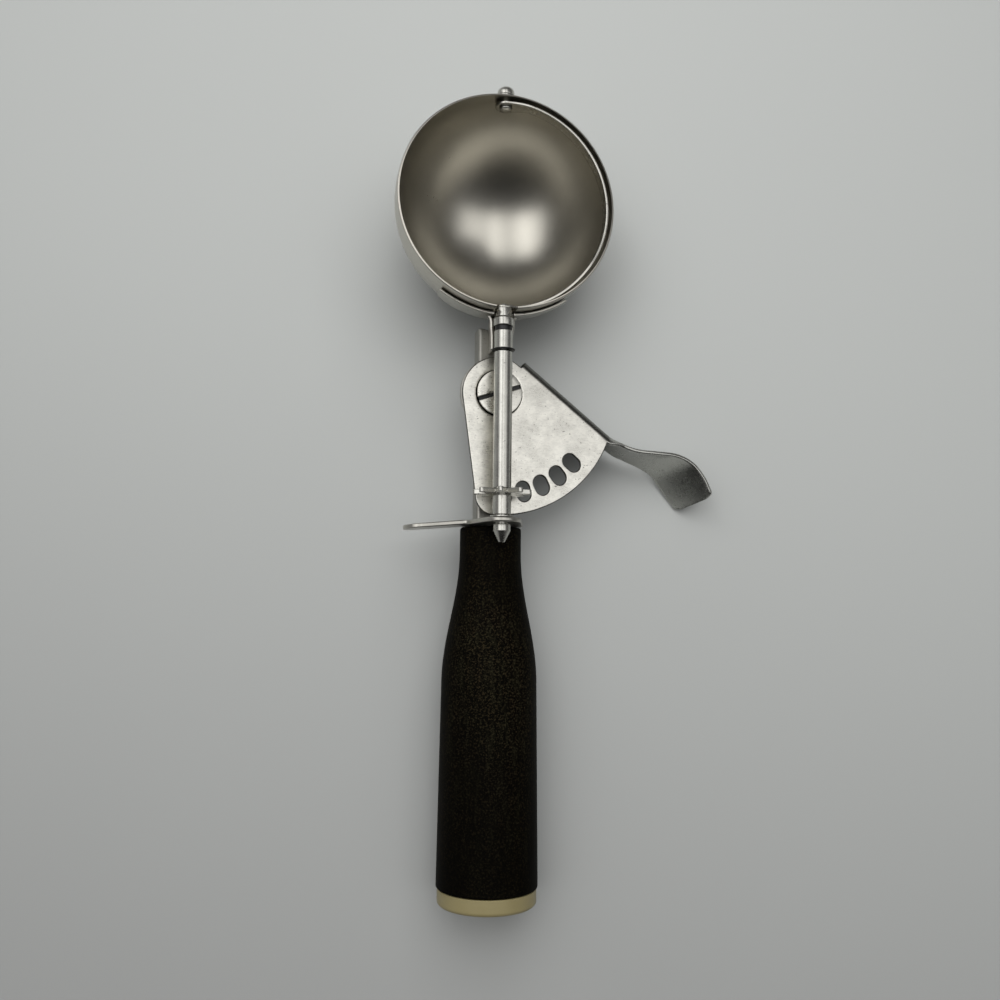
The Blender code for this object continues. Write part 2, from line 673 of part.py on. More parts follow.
def make_pivot():
    """Screw, bush, washer and nut through the stem's web, with the spring in its cup."""
    head_low = SECTOR_TOP_Z - DISH_DEPTH + SEAT_GAP
    nut_top = STEM_WEB_LOW_Z - 2 * SEAT_GAP - PIVOT_WASHER_THICKNESS
    nut_low = nut_top - PIVOT_NUT_THICKNESS
    screw_end = nut_low - 0.6
    edge = 0.5
    head_top = head_low + PIVOT_HEAD_HEIGHT
    head_edge = head_top - 0.35
    profile = [(0, head_top), (PIVOT_HEAD_RADIUS * 0.6, head_top - 0.12)]
    profile += [(PIVOT_HEAD_RADIUS - edge, head_edge), (PIVOT_HEAD_RADIUS, head_edge - edge)]
    profile += [(PIVOT_HEAD_RADIUS, head_low)]
    profile += [(PIVOT_SCREW_RADIUS, head_low), (PIVOT_SCREW_RADIUS, screw_end), (0, screw_end)]
    screw = at_pivot(turned("pivot_screw", profile, STEEL, steps=36))
    reach = PIVOT_HEAD_RADIUS + 1
    slot_low = head_top - SCREW_SLOT_DEPTH
    slot = add_cutter("screw_slot", box_mesh("screw_slot", (-reach, -SCREW_SLOT_WIDTH / 2, slot_low),
                                             (reach, SCREW_SLOT_WIDTH / 2, slot_low + 3)))
    at_pivot(slot)
    slot.rotation_euler = (0, 0, SCREW_SLOT_ANGLE)
    combine(screw, slot, "DIFFERENCE")
    bore = PIVOT_SCREW_RADIUS + BORE_GAP
    at_pivot(tube("pivot_bushing", PIVOT_BUSH_RADIUS, bore, STEM_WEB_TOP_Z + SEAT_GAP, head_low - SEAT_GAP,
                  STEEL, 28))
    at_pivot(tube("pivot_washer", PIVOT_NUT_ACROSS / 2, bore, nut_top + SEAT_GAP,
                  nut_top + SEAT_GAP + PIVOT_WASHER_THICKNESS, STEEL, 24))
    nut_outlines = [hexagon(PIVOT_NUT_ACROSS), circle(0, 0, bore, 20)]
    nut_mesh = outline_mesh("pivot_nut", nut_outlines, PIVOT_NUT_THICKNESS)
    nut = at_pivot(add_piece("pivot_nut", nut_mesh, STEEL))
    nut.location.z = (nut_low + nut_top) / 2 * MM
    nut.rotation_euler = (0, 0, math.pi / 6)
    cup_low = STEM_WEB_TOP_Z + SEAT_GAP
    cup_top = SECTOR_BOTTOM_Z - SEAT_GAP
    cup_floor = cup_low + CUP_WALL
    hole = PIVOT_BUSH_RADIUS + SEAT_GAP
    cup_profile = [(CUP_RADIUS, cup_top), (CUP_RADIUS, cup_low), (hole, cup_low), (hole, cup_floor)]
    cup_profile += [(CUP_RADIUS - CUP_WALL, cup_floor), (CUP_RADIUS - CUP_WALL, cup_top)]
    at_pivot(turned("spring_cup", cup_profile, STEEL, steps=40, ring=True))
    make_spring(cup_floor + SEAT_GAP + SPRING_WIRE / 2, cup_top - SPRING_WIRE / 2)


def make_spring(low, high):
    """A conical torsion spring of round wire, its coils drawn in as they climb."""
    curve = bpy.data.curves.new("torsion_spring", "CURVE")
    curve.dimensions = "3D"
    curve.bevel_depth = SPRING_WIRE / 2 * MM
    curve.bevel_resolution = 1
    curve.use_fill_caps = True
    curve.render_resolution_u = 0
    count = int(SPRING_TURNS * 16)
    spline = curve.splines.new("POLY")
    spline.points.add(count)
    places = []
    for i, point in enumerate(spline.points):
        share = i / count
        angle = TURN * SPRING_TURNS * share
        radius = SPRING_OUTER + (SPRING_INNER - SPRING_OUTER) * share
        place = Vector((radius * math.cos(angle), radius * math.sin(angle), low + (high - low) * share))
        places.append(place)
        point.co = (*(place * MM), 1)
    gap = min((places[i] - places[j]).length for i in range(len(places)) for j in range(i + 8, len(places)))
    print("torsion spring, least gap to itself in mm:", round(gap - SPRING_WIRE, 2))
    spring = bpy.data.objects.new("torsion_spring", curve)
    parts.objects.link(spring)
    spring.data.materials.append(surface(STEEL))
    at_pivot(spring)


def make_stem():
    """A U-channel with its web towards the sector, cut off at a slant at the bowl end."""
    w, t, c = STEM_HALF_WIDTH, SHEET, STEM_CORNER
    outline = [(-w, STEM_BOTTOM_Z), *arc(-w + c, STEM_WEB_TOP_Z - c, c, math.pi, math.pi / 2, 5)]
    outline += [*arc(w - c, STEM_WEB_TOP_Z - c, c, math.pi / 2, 0, 5), (w, STEM_BOTTOM_Z)]
    outline += [(w - t, STEM_BOTTOM_Z), (w - t, STEM_WEB_LOW_Z)]
    outline += [(-w + t, STEM_WEB_LOW_Z), (-w + t, STEM_BOTTOM_Z)]
    low = BOLSTER_TOP_Y + SEAT_GAP
    high = STEM_TOP_Y - 1.1 * w * math.tan(STEM_SLANT)
    stem = add_piece("frame_stem", outline_mesh("frame_stem", [outline], high - low), STEEL)
    across_y(stem, (low + high) / 2)
    slant = add_cutter("stem_slant", box_mesh("stem_slant", (-2 * CUT_PAST, 0, -2 * CUT_PAST),
                                              (2 * CUT_PAST, CUT_PAST, 2 * CUT_PAST)))
    slant.location = (0, STEM_TOP_Y * MM, 0)
    slant.rotation_euler = (0, 0, STEM_SLANT)
    combine(stem, slant, "DIFFERENCE")
    hole = add_cutter("stem_hole", cylinder_mesh("stem_hole", PIVOT_SCREW_RADIUS + BORE_GAP, -CUT_PAST, CUT_PAST, 24))
    at_pivot(hole)
    combine(stem, hole, "DIFFERENCE")


def make_saddle():
    """Arms that hug the bowl, joined to the trough round the sleeve and its keel on the stem."""
    middle = BOWL_RADIUS + SEAT_GAP + SADDLE_SHEET / 2
    count = 23
    rises = 6
    rows = []
    for i in range(count):
        share = 2 * i / (count - 1) - 1
        angle = -math.pi / 2 + share * SADDLE_REACH
        drop = SADDLE_DEPTH * (1 - 0.45 * abs(share) ** 3)
        row = []
        for j in range(rises):
            z = SADDLE_ABOVE - drop * j / (rises - 1)
            reach = math.sqrt(middle ** 2 - min(z, 0) ** 2)
            row.append((reach * math.cos(angle), reach * math.sin(angle), z))
        rows.append(row)
    saddle = add_piece("bowl_saddle", sheet("bowl_saddle", rows), STEEL)
    saddle.location = BOWL_CENTRE * MM
    thicken(saddle, SADDLE_SHEET)
    trough_low = SLEEVE_LOW_Y - 0.2
    trough_high = BOWL_Y - BOWL_RADIUS - SEAT_GAP
    lip = math.asin(TROUGH_LIP / TROUGH_RADIUS)
    keel_low = STEM_WEB_TOP_Z + SEAT_GAP - SHAFT_Z
    outline = arc(0, 0, TROUGH_RADIUS, math.pi - lip, TURN + lip, 25)
    outline += arc(0, 0, TROUGH_BORE, lip, -math.pi - lip, 25)
    trough = add_cutter("saddle_trough", outline_mesh("saddle_trough", [outline], trough_high - trough_low))
    across_y(trough, (trough_low + trough_high) / 2)
    trough.location.z = SHAFT_Z * MM
    combine(saddle, trough, "UNION")
    keel_outline = [(-KEEL_HALF_WIDTH, -TROUGH_BORE - 0.35), (-KEEL_HALF_WIDTH, keel_low)]
    keel_outline += [(KEEL_HALF_WIDTH, keel_low), (KEEL_HALF_WIDTH, -TROUGH_BORE - 0.35)]
    keel_high = BOWL_Y - math.sqrt((BOWL_RADIUS + SEAT_GAP) ** 2 - keel_low ** 2) - 2.5
    keel_start = trough_low + 1.2
    keel = add_cutter("saddle_keel", outline_mesh("saddle_keel", [keel_outline], keel_high - keel_start))
    across_y(keel, (keel_start + keel_high) / 2)
    keel.location.z = SHAFT_Z * MM
    combine(saddle, keel, "UNION")
    hole = add_cutter("hub_way", cylinder_mesh("hub_way", TROUGH_BORE, -6, 6, 32))
    on_shaft(hole)
    hole.location.y = (BOWL_Y - BOWL_RADIUS) * MM
    combine(saddle, hole, "DIFFERENCE")
    opening = add_cutter("hub_opening", box_mesh("hub_opening", (-TROUGH_BORE, -7, 0), (TROUGH_BORE, 6, 6)))
    opening.location = (0, (BOWL_Y - BOWL_RADIUS) * MM, SHAFT_Z * MM)
    combine(saddle, opening, "DIFFERENCE")


def tangent_outline(low_radius, high_centre, high_radius):
    """Two circles one above the other, with the straight edges that touch both."""
    lean = math.asin((low_radius - high_radius) / high_centre)
    points = arc(0, 0, low_radius, math.pi - lean, TURN + lean, 28)
    points += arc(0, high_centre, high_radius, lean, math.pi - lean, 18)
    return points


def make_bolster():
    """The plate across the grip's top, bored for the tang and the shaft, and its finger rest."""
    holes = [circle(0, 0, TANG_BORE, 24), circle(0, SHAFT_Z, CORE_BORE, 24)]
    outline = tangent_outline(BOLSTER_RADIUS, SHAFT_Z, BOLSTER_LOBE_RADIUS)
    mesh = outline_mesh("bolster_plate", [outline, *holes], BOLSTER_THICKNESS)
    bolster = across_y(add_piece("bolster_plate", mesh, STEEL), (BOLSTER_LOW_Y + BOLSTER_TOP_Y) / 2)
    root = BOLSTER_RADIUS - 0.9
    reach = REST_REACH - root
    half = REST_HALF_WIDTH
    rest_outline = arc(-reach + half, 0, half, math.pi / 2, math.pi * 3 / 2, 13)
    rest_outline += [(1, -half), (1, half)]
    rest = add_cutter("finger_rest", outline_mesh("finger_rest", [rest_outline], BOLSTER_THICKNESS))
    rest.rotation_euler = (math.pi / 2, 0, REST_BEND)
    rest.location = (-root * MM, (BOLSTER_LOW_Y + BOLSTER_TOP_Y) / 2 * MM, REST_Z * MM)
    combine(bolster, rest, "UNION")


def grip_radius(y):
    """A slight taper from the butt, then a cosine swell down to the neck."""
    if y <= SWELL_START_Y:
        share = (y - GRIP_LOW_Y) / (SWELL_START_Y - GRIP_LOW_Y)
        return GRIP_BUTT_RADIUS + (GRIP_BODY_RADIUS - GRIP_BUTT_RADIUS) * share
    if y >= SWELL_END_Y:
        return GRIP_NECK_RADIUS
    share = (y - SWELL_START_Y) / (SWELL_END_Y - SWELL_START_Y)
    return GRIP_BODY_RADIUS + (GRIP_NECK_RADIUS - GRIP_BODY_RADIUS) * (1 - math.cos(math.pi * share)) / 2


def make_grip():
    swell = [SWELL_END_Y + (SWELL_START_Y - SWELL_END_Y) * i / 12 for i in range(13)]
    r = GRIP_ROUNDING
    top = [(GRIP_NECK_RADIUS - r * (1 - math.sin(a)), GRIP_TOP_Y - r * (1 - math.cos(a)))
           for a in (math.pi / 2 * i / 4 for i in range(5))]
    profile = [(TANG_BORE, GRIP_TOP_Y), *top]
    profile += [(grip_radius(y), y) for y in swell]
    profile += [(grip_radius(GRIP_LOW_Y + 0.5), GRIP_LOW_Y + 0.5), (GRIP_BUTT_RADIUS - 0.4, GRIP_LOW_Y)]
    bore = SPIGOT_RADIUS + SEAT_GAP
    profile += [(bore, GRIP_LOW_Y), (bore, COUNTERBORE_Y), (TANG_BORE, COUNTERBORE_Y)]
    on_grip_axis(turned("grip", profile, GRIP_BROWN, steps=48, ring=True))


def make_cap():
    """The cream cap, with a spigot ring that sits in the grip's counterbore."""
    inner = SPIGOT_RADIUS - SPIGOT_WALL
    spigot_top = CAP_LENGTH + SPIGOT_LENGTH
    profile = [(0, CAP_LENGTH), (inner, CAP_LENGTH), (inner, spigot_top), (SPIGOT_RADIUS, spigot_top)]
    profile += [(SPIGOT_RADIUS, CAP_LENGTH), (CAP_RADIUS, CAP_LENGTH)]
    profile += [(CAP_RADIUS - CAP_ROUNDING * (1 - math.cos(a)), CAP_ROUNDING * (1 - math.sin(a)))
                for a in (math.pi / 2 * i / 4 for i in range(5))]
    profile += [(0, 0)]
    on_grip_axis(turned("butt_cap", profile, CAP_CREAM, steps=48))


def make_tang():
    """The rod through the grip, riveted in the bolster and held by a nut and washer."""
    washer_top = COUNTERBORE_Y - SEAT_GAP
    washer_low = washer_top - TANG_WASHER_THICKNESS
    nut_top = washer_low - SEAT_GAP
    nut_low = nut_top - TANG_NUT_THICKNESS
    rod_low = nut_low - 1.6
    profile = [(0, BOLSTER_TOP_Y - 0.1), (TANG_RADIUS, BOLSTER_TOP_Y - 0.1), (TANG_RADIUS, rod_low + 0.4)]
    profile += [(TANG_RADIUS - 0.4, rod_low), (0, rod_low)]
    on_grip_axis(turned("tang_rod", profile, STEEL, steps=24))
    on_grip_axis(tube("tang_washer", TANG_WASHER_RADIUS, TANG_BORE, washer_low, washer_top, STEEL, 32))
    nut_outlines = [hexagon(TANG_NUT_ACROSS), circle(0, 0, TANG_BORE, 24)]
    mesh = outline_mesh("tang_nut", nut_outlines, TANG_NUT_THICKNESS)
    across_y(add_piece("tang_nut", mesh, STEEL), (nut_low + nut_top) / 2)


clear_scene()
parts = new_collection("ice_cream_scoop")
cutters = new_collection("cutters")
make_bowl()
make_blade()
make_nose_pin()
make_ferrule(make_shaft(make_hub() - SEAT_GAP))
make_shaft_rings()
make_star_wheel()
make_sector_lever()
make_pivot()
make_stem()
make_saddle()
make_bolster()
make_grip()
make_cap()
make_tang()
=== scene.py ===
# %% [markdown]
# # A thumb-lever ice cream scoop
# A steel bowl with a scraper blade in it sits on a long shaft. The thumb pushes a slotted
# sector, the sector turns a star wheel on the shaft, and the blade sweeps the bowl clean.
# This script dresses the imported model: each solid gets a finished surface in its place.
# Everything is worked out in millimetres with numpy and put into meshes in metres.

import json
from math import acos, asin, cos, pi, radians, sin, sqrt, tan

import bmesh
import bpy
import numpy as np
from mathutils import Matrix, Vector
from mathutils.geometry import delaunay_2d_cdt


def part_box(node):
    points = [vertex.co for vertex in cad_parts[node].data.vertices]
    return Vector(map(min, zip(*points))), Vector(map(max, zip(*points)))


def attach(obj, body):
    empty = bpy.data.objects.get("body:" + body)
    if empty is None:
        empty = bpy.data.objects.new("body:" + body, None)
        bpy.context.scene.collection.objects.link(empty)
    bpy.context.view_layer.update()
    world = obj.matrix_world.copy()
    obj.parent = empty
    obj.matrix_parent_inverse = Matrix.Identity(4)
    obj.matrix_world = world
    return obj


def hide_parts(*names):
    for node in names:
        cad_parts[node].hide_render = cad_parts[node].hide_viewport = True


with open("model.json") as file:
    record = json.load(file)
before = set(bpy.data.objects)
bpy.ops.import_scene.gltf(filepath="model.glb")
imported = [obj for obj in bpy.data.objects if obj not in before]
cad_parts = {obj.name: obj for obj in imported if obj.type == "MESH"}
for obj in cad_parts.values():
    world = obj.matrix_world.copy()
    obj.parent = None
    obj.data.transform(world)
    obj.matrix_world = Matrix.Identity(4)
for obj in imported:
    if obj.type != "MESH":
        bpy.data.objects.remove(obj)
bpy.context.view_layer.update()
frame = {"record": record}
MM = 0.001
TURN = 2 * pi
QUARTER = pi / 2
SEAT_GAP = 0.3


def corners(node):
    """The lowest and highest corner of a solid at rest, in millimetres."""
    low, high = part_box(node)
    return np.array(low) / MM, np.array(high) / MM


def span(node, axis=1):
    """The low end, high end and outer radius of a solid that is turned about Y (axis 1) or Z (2)."""
    low, high = corners(node)
    return low[axis], high[axis], (high[0] - low[0]) / 2


BODY_OF = {node: body for body, nodes in frame["record"]["behaviour"]["bodies"].items() for node in nodes}
print("pieces to dress:", len(BODY_OF), "on bodies", sorted(set(BODY_OF.values())))

# %% [markdown]
# ## Surfaces from grids
# A turned or pressed part is a function of two numbers, such as the angle round an axis and
# the place along a profile. Worked out for a whole grid at once, it gives even quads that
# take light well. Where rows meet at a pole the points fall together and are merged.

# %% Grids and meshes
DOUBLES = 0.002
SHARP_FROM = radians(38)
norm = np.linalg.norm


def grid(points, wrap_rows=False, wrap_columns=False):
    """Quads between neighbours on a grid of points, as rows of four point numbers."""
    rows, columns = points.shape[:2]
    i, j = np.meshgrid(np.arange(rows if wrap_rows else rows - 1),
                       np.arange(columns if wrap_columns else columns - 1), indexing="ij")
    ahead, beside = (i + 1) % rows, (j + 1) % columns
    quads = [i * columns + j, i * columns + beside, ahead * columns + beside, ahead * columns + j]
    return np.stack(quads, -1).reshape(-1, 4)


def together(x, y, z):
    """Points from three coordinates, each of them spread over the grid that they span."""
    return np.stack(np.broadcast_arrays(x, y, z), -1)


def about(axis, x, other, along):
    """Points about the Y axis (1) or the Z axis (2), from two coordinates across it and one along it."""
    return together(x, along, other) if axis == 1 else together(x, other, along)


def make_mesh(name, points, faces):
    """A smooth-shaded mesh from points in millimetres, its doubles merged and its faces turned outwards."""
    mesh = bpy.data.meshes.new(name)
    mesh.from_pydata((points.reshape(-1, 3) * MM).tolist(), [], faces.tolist())
    work = bmesh.new()
    work.from_mesh(mesh)
    bmesh.ops.remove_doubles(work, verts=work.verts, dist=DOUBLES * MM)
    bmesh.ops.recalc_face_normals(work, faces=work.faces)
    work.to_mesh(mesh)
    work.free()
    mesh.shade_smooth()
    mesh.set_sharp_from_angle(angle=SHARP_FROM)
    return mesh


# %% Arcs and rounded outlines
NEARLY_STRAIGHT = 1.56
LARGEST_CUT = 0.49


def smoothstep(low, high, x):
    """0 below low, 1 above high, and a curve 3t² - 2t³ between them."""
    t = np.clip((x - low) / (high - low), 0, 1)
    return t * t * (3 - 2 * t)


def circle_arc(radius, start, end, count, centre=(0, 0)):
    """Points on an arc of a circle in the plane, from one angle to another."""
    t = np.linspace(start, end, count)
    return np.stack([centre[0] + radius * np.cos(t), centre[1] + radius * np.sin(t)], -1)


def circle(radius, count, centre=(0, 0)):
    """A closed ring of evenly spaced points."""
    return circle_arc(radius, 0, TURN * (count - 1) / count, count, centre)


def rounded(corner_points, radius, closed=True, steps=5):
    """The outline through some corners, each replaced by an arc that touches both its sides.

    The arc's centre lies on the corner's bisector, at radius / sin(half the corner's angle).
    """
    points = np.asarray(corner_points, float)
    radii = np.broadcast_to(np.asarray(radius, float), len(points))
    pieces = []
    for k, here in enumerate(points):
        back = points[k - 1] - here
        ahead = points[(k + 1) % len(points)] - here
        room = LARGEST_CUT * min(norm(back), norm(ahead))
        back = back / norm(back)
        ahead = ahead / norm(ahead)
        half = acos(np.clip(back @ ahead, -1, 1)) / 2
        at_end = not closed and k in (0, len(points) - 1)
        if at_end or radii[k] == 0 or half > NEARLY_STRAIGHT:
            pieces.append(here[None])
            continue
        cut = min(radii[k] / tan(half), room)
        centre = here + (back + ahead) / norm(back + ahead) * cut / cos(half)
        turn = pi - 2 * half
        t = np.linspace(0, turn, steps)[:, None]
        start, end = here + back * cut - centre, here + ahead * cut - centre
        pieces.append(centre + (np.sin(turn - t) * start + np.sin(t) * end) / sin(turn))
    return np.vstack(pieces)


print("a rounded square has", len(rounded([(0, 0), (4, 0), (4, 4), (0, 4)], 1)), "points")

# %% [markdown]
# ## Pieces
# Each new piece rides on the body of the solid that it stands for. Pressed pieces are made as
# the middle surface of their sheet: Solidify gives the sheet its thickness and Bevel rounds the
# cut edges, as tumbling does after the press.

# %% Add a piece, and give a sheet its thickness
CUT_EDGE_ANGLE = radians(50)
STAMPED_EDGE = 0.22


def put(name, data):
    """An object in the scene, made from its data."""
    thing = bpy.data.objects.new(name, data)
    bpy.context.scene.collection.objects.link(thing)
    return thing


def add_piece(name, node, points, faces, material, place=(0, 0, 0)):
    """Puts a surface in the scene in place of a CAD node, on that node's body."""
    mesh = make_mesh(name, points + np.array(place), faces)
    mesh.materials.append(material)
    piece = put(name, mesh)
    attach(piece, BODY_OF[node])
    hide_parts(node)
    print(f"{name}: {len(mesh.polygons)} faces, on {BODY_OF[node]}")
    return piece


def modify(piece, name, kind, **settings):
    modifier = piece.modifiers.new(name, kind)
    for key, value in settings.items():
        setattr(modifier, key, value)


def even_normals(piece):
    """Lets the large faces rule the shading, so that flats stay flat beside their rounded edges."""
    modify(piece, "even_normals", "WEIGHTED_NORMAL", keep_sharp=True)


def press(piece, thickness, edge=STAMPED_EDGE):
    """Gives a middle surface the sheet's thickness and rounds its cut edges.

    The rounding isn't clamped, because one short side anywhere would make it narrower everywhere.
    """
    modify(piece, "sheet", "SOLIDIFY", thickness=thickness * MM, offset=0, use_even_offset=True)
    modify(piece, "cut_edges", "BEVEL", width=edge * MM, segments=3, limit_method="ANGLE",
           angle_limit=CUT_EDGE_ANGLE, use_clamp_overlap=False, loop_slide=False)
    even_normals(piece)


# %% [markdown]
# ## Shader arithmetic
# A finish is mostly arithmetic on noise. The class below wraps one output of a node, so that
# `0.3 + 0.1 * grain` adds the Math nodes by itself. Everything else comes from `node`.

# %% A wrapped socket and a sheet of nodes
class Wire:
    """One output of a shader node. Arithmetic with it adds Math nodes to the same material."""

    def __init__(self, nodes, socket):
        self.nodes = nodes
        self.socket = socket

    def calc(self, operation, *values):
        return self.nodes.node("ShaderNodeMath", {"operation": operation}, values)

    def __add__(self, other):
        return self.calc("ADD", self, other)

    def __sub__(self, other):
        return self.calc("SUBTRACT", self, other)

    def __rsub__(self, other):
        return self.calc("SUBTRACT", other, self)

    def __mul__(self, other):
        return self.calc("MULTIPLY", self, other)

    __radd__ = __add__
    __rmul__ = __mul__

    def between(self, low, high):
        """0 at low, 1 at high, smooth between and held beyond."""
        values = {0: self, 1: low, 2: high, 3: 0.0, 4: 1.0}
        return self.nodes.node("ShaderNodeMapRange", {"interpolation_type": "SMOOTHSTEP"}, values)


class Nodes:
    """The node tree of one material or world."""

    def __init__(self, tree):
        self.tree = tree

    def node(self, kind, settings, values=(), output=0):
        """Adds a node: its settings first, then the values or links of its sockets."""
        made = self.tree.nodes.new(kind)
        for name, value in settings.items():
            setattr(made, name, value)
        pairs = values.items() if isinstance(values, dict) else enumerate(values)
        for key, value in pairs:
            if isinstance(value, Wire):
                self.tree.links.new(value.socket, made.inputs[key])
            else:
                made.inputs[key].default_value = value
        return Wire(self, made.outputs[output])

    def vector(self, operation, values, output=0):
        return self.node("ShaderNodeVectorMath", {"operation": operation}, values, output)

    def mix(self, share, first, second):
        """A colour between two colours."""
        colours = [c if isinstance(c, Wire) else (*c, 1.0) for c in (first, second)]
        return self.node("ShaderNodeMix", {"data_type": "RGBA"}, {0: share, 6: colours[0], 7: colours[1]}, 2)

    def noise(self, scale, detail, roughness, stretch=(1, 1, 1)):
        place = self.object_place(stretch)
        values = {"Vector": place, "Scale": scale, "Detail": detail, "Roughness": roughness}
        return self.node("ShaderNodeTexNoise", {}, values)

    def object_place(self, scale=(1, 1, 1), shift=(0, 0, 0)):
        """Object coordinates in metres, stretched and then moved."""
        place = self.node("ShaderNodeTexCoord", {}, output="Object")
        values = {"Vector": place, "Location": shift, "Scale": scale}
        return self.node("ShaderNodeMapping", {"vector_type": "POINT"}, values)

    def coordinate(self, letter, place):
        return self.node("ShaderNodeSeparateXYZ", {}, {0: place}, output=letter)

    def from_axis(self, place):
        """The distance from the upright axis: the length of a place with its Z left out."""
        flat = self.vector("MULTIPLY", {0: place, 1: (1, 1, 0)})
        return self.vector("LENGTH", {0: flat}, output="Value")


def new_material(name):
    """A Principled material and its nodes."""
    material = bpy.data.materials.new(name)
    material.use_nodes = True
    return material, Nodes(material.node_tree)


def paint(nodes, settings, varying, height=None, depth=0.0, strength=0.5):
    """Sets constants on the shader and links what changes over the surface.

    A height between 0 and 1 gives a bump of that depth in millimetres.
    """
    shader = nodes.tree.nodes["Principled BSDF"]
    if height is not None:
        bump = {"Strength": strength, "Distance": depth * MM, "Height": height}
        varying = {**varying, "Normal": nodes.node("ShaderNodeBump", {}, bump)}
    for name, value in settings.items():
        shader.inputs[name].default_value = value
    for name, wire in varying.items():
        nodes.tree.links.new(wire.socket, shader.inputs[name])


# %% [markdown]
# ## Steel finishes
# The pressed parts are satin steel with the fine grain of the rolled sheet, small pits and a
# cloudy handling haze. A metal shows this more in how sharply it reflects than in colour, so
# the grain mostly drives roughness, with a bump of a few thousandths of a millimetre. The
# lever's plate is polished. Its flange, the dish round the screw and its cut edges get painted
# shade, and its thumb strip gets a painted darker grey for the strip's dim reflections.

# %% A steel finish
def steel(name, colour, roughness, grain, haze, pits=0.0, painted_shade=None):
    """Satin steel. grain stretches the fine noise: small numbers run along the grain.

    The last argument is a function that paints shade: it changes tone and roughness where shade is painted on
    the sheet.
    """
    material, nodes = new_material(name)
    streaks = nodes.noise(1.0, 4.0, 0.65, grain)
    cloud = nodes.noise(160.0, 5.0, 0.65)
    speck = nodes.noise(1500.0, 2.0, 0.5)
    pit = speck.between(0.66, 0.74) * pits
    bright = 0.65 * cloud.between(0.3, 0.7) + 0.35 * streaks.between(0.3, 0.7)
    tone = nodes.mix(bright, [c * (1 - 2 * haze) for c in colour], colour)
    spread = roughness + 0.35 * roughness * (streaks - 0.5) + haze * (cloud - 0.5) + 0.2 * pit
    if painted_shade:
        tone, spread = painted_shade(nodes, tone, spread)
    worn = nodes.mix(pit, tone, [c * 0.25 for c in colour])
    paint(nodes, {"Metallic": 1.0}, {"Base Color": worn, "Roughness": spread}, streaks - 0.6 * pit, 0.004)
    return material


PIVOT = np.array([0.7, 159.0, 0.0])
# Painted shade on the lever: the levels below which the sheet goes dark, and the distances from the pivot
# past which the strip turns a painted darker grey.
SHADE_LEVELS = (7.1 * MM, 7.185 * MM)
PAD_SHADE_REACHES = (39.0 * MM, 40.5 * MM)
PAINTED_EDGE_SHADE = (0.17, 0.17, 0.155)
PAINTED_PAD_SHADE = (0.44, 0.44, 0.41)


def lever_painted_shade(nodes, tone, spread):
    """Painted shade: dark on the flange, the dish round the screw and all punched edges, which lie below the
    plate's face, and a painted darker grey beyond the plate's arc.
    """
    place = nodes.object_place(shift=tuple(-PIVOT * MM))
    below = 1 - nodes.coordinate("Z", place).between(*SHADE_LEVELS)
    beyond = nodes.from_axis(place).between(*PAD_SHADE_REACHES)
    share = below + beyond - below * beyond
    return nodes.mix(share, tone, nodes.mix(beyond, PAINTED_EDGE_SHADE, PAINTED_PAD_SHADE)), spread - 0.04 * share


PLATE_STEEL = steel("plate_steel", (0.88, 0.86, 0.785), 0.30, (900, 2600, 900), haze=0.21, pits=1.0,
                    painted_shade=lever_painted_shade)
STRIP_STEEL = steel("strip_steel", (0.56, 0.545, 0.495), 0.26, (2600, 900, 900), haze=0.10, pits=0.5)
TURNED_STEEL = steel("turned_steel", (0.58, 0.57, 0.525), 0.24, (3500, 160, 3500), haze=0.14, pits=0.5)
FRAME_STEEL = steel("frame_steel", (0.54, 0.525, 0.475), 0.32, (900, 900, 2600), haze=0.14, pits=0.6)
STEM_STEEL = steel("stem_steel", (0.40, 0.39, 0.355), 0.44, (2600, 160, 2600), haze=0.14, pits=0.6)
# Dark steel for the blackened retaining ring, also used as painted shade for the gap by the hub and for the
# screw's slot floor.
DARK_STEEL_AND_SHADE = steel("painted_shade_and_dark_steel", (0.05, 0.05, 0.05), 0.42, (900, 900, 900), haze=0.05)
print("steel finishes:", [m.name for m in bpy.data.materials if m.name.endswith("steel")])

# %% [markdown]
# The bowl is spun over a form, so its marks are circles round its own axis. A noise of one
# number, the distance from that axis, makes rings that are even all the way round.

# %% The bowl's finish
BOWL_RADIUS = 34.9
BOWL_LOW, BOWL_HIGH = corners("bowl")
BOWL_CENTRE = np.array([0, BOWL_HIGH[1] - BOWL_RADIUS, BOWL_LOW[2] + BOWL_RADIUS])
SPUN_COLOUR = (0.545, 0.522, 0.462)
SPUN_STEEL, nodes = new_material("spun_bowl_steel")
distance = nodes.from_axis(nodes.object_place(shift=tuple(-BOWL_CENTRE * MM)))
rings = nodes.node("ShaderNodeTexNoise", {"noise_dimensions": "1D"},
                   {"W": distance, "Scale": 2200.0, "Detail": 4.0, "Roughness": 0.7})
cloud = nodes.noise(90.0, 5.0, 0.6)
fine = nodes.noise(1400.0, 3.0, 0.6)
tone = nodes.mix(cloud.between(0.3, 0.7), [c * 0.93 for c in SPUN_COLOUR], SPUN_COLOUR)
spread = 0.30 + 0.05 * (rings - 0.5) + 0.08 * (cloud - 0.5) + 0.05 * (fine - 0.5)
paint(nodes, {"Metallic": 1.0}, {"Base Color": tone, "Roughness": spread}, 0.6 * rings + 0.5 * fine, 0.003)
print("bowl centre in mm:", BOWL_CENTRE.round(2))
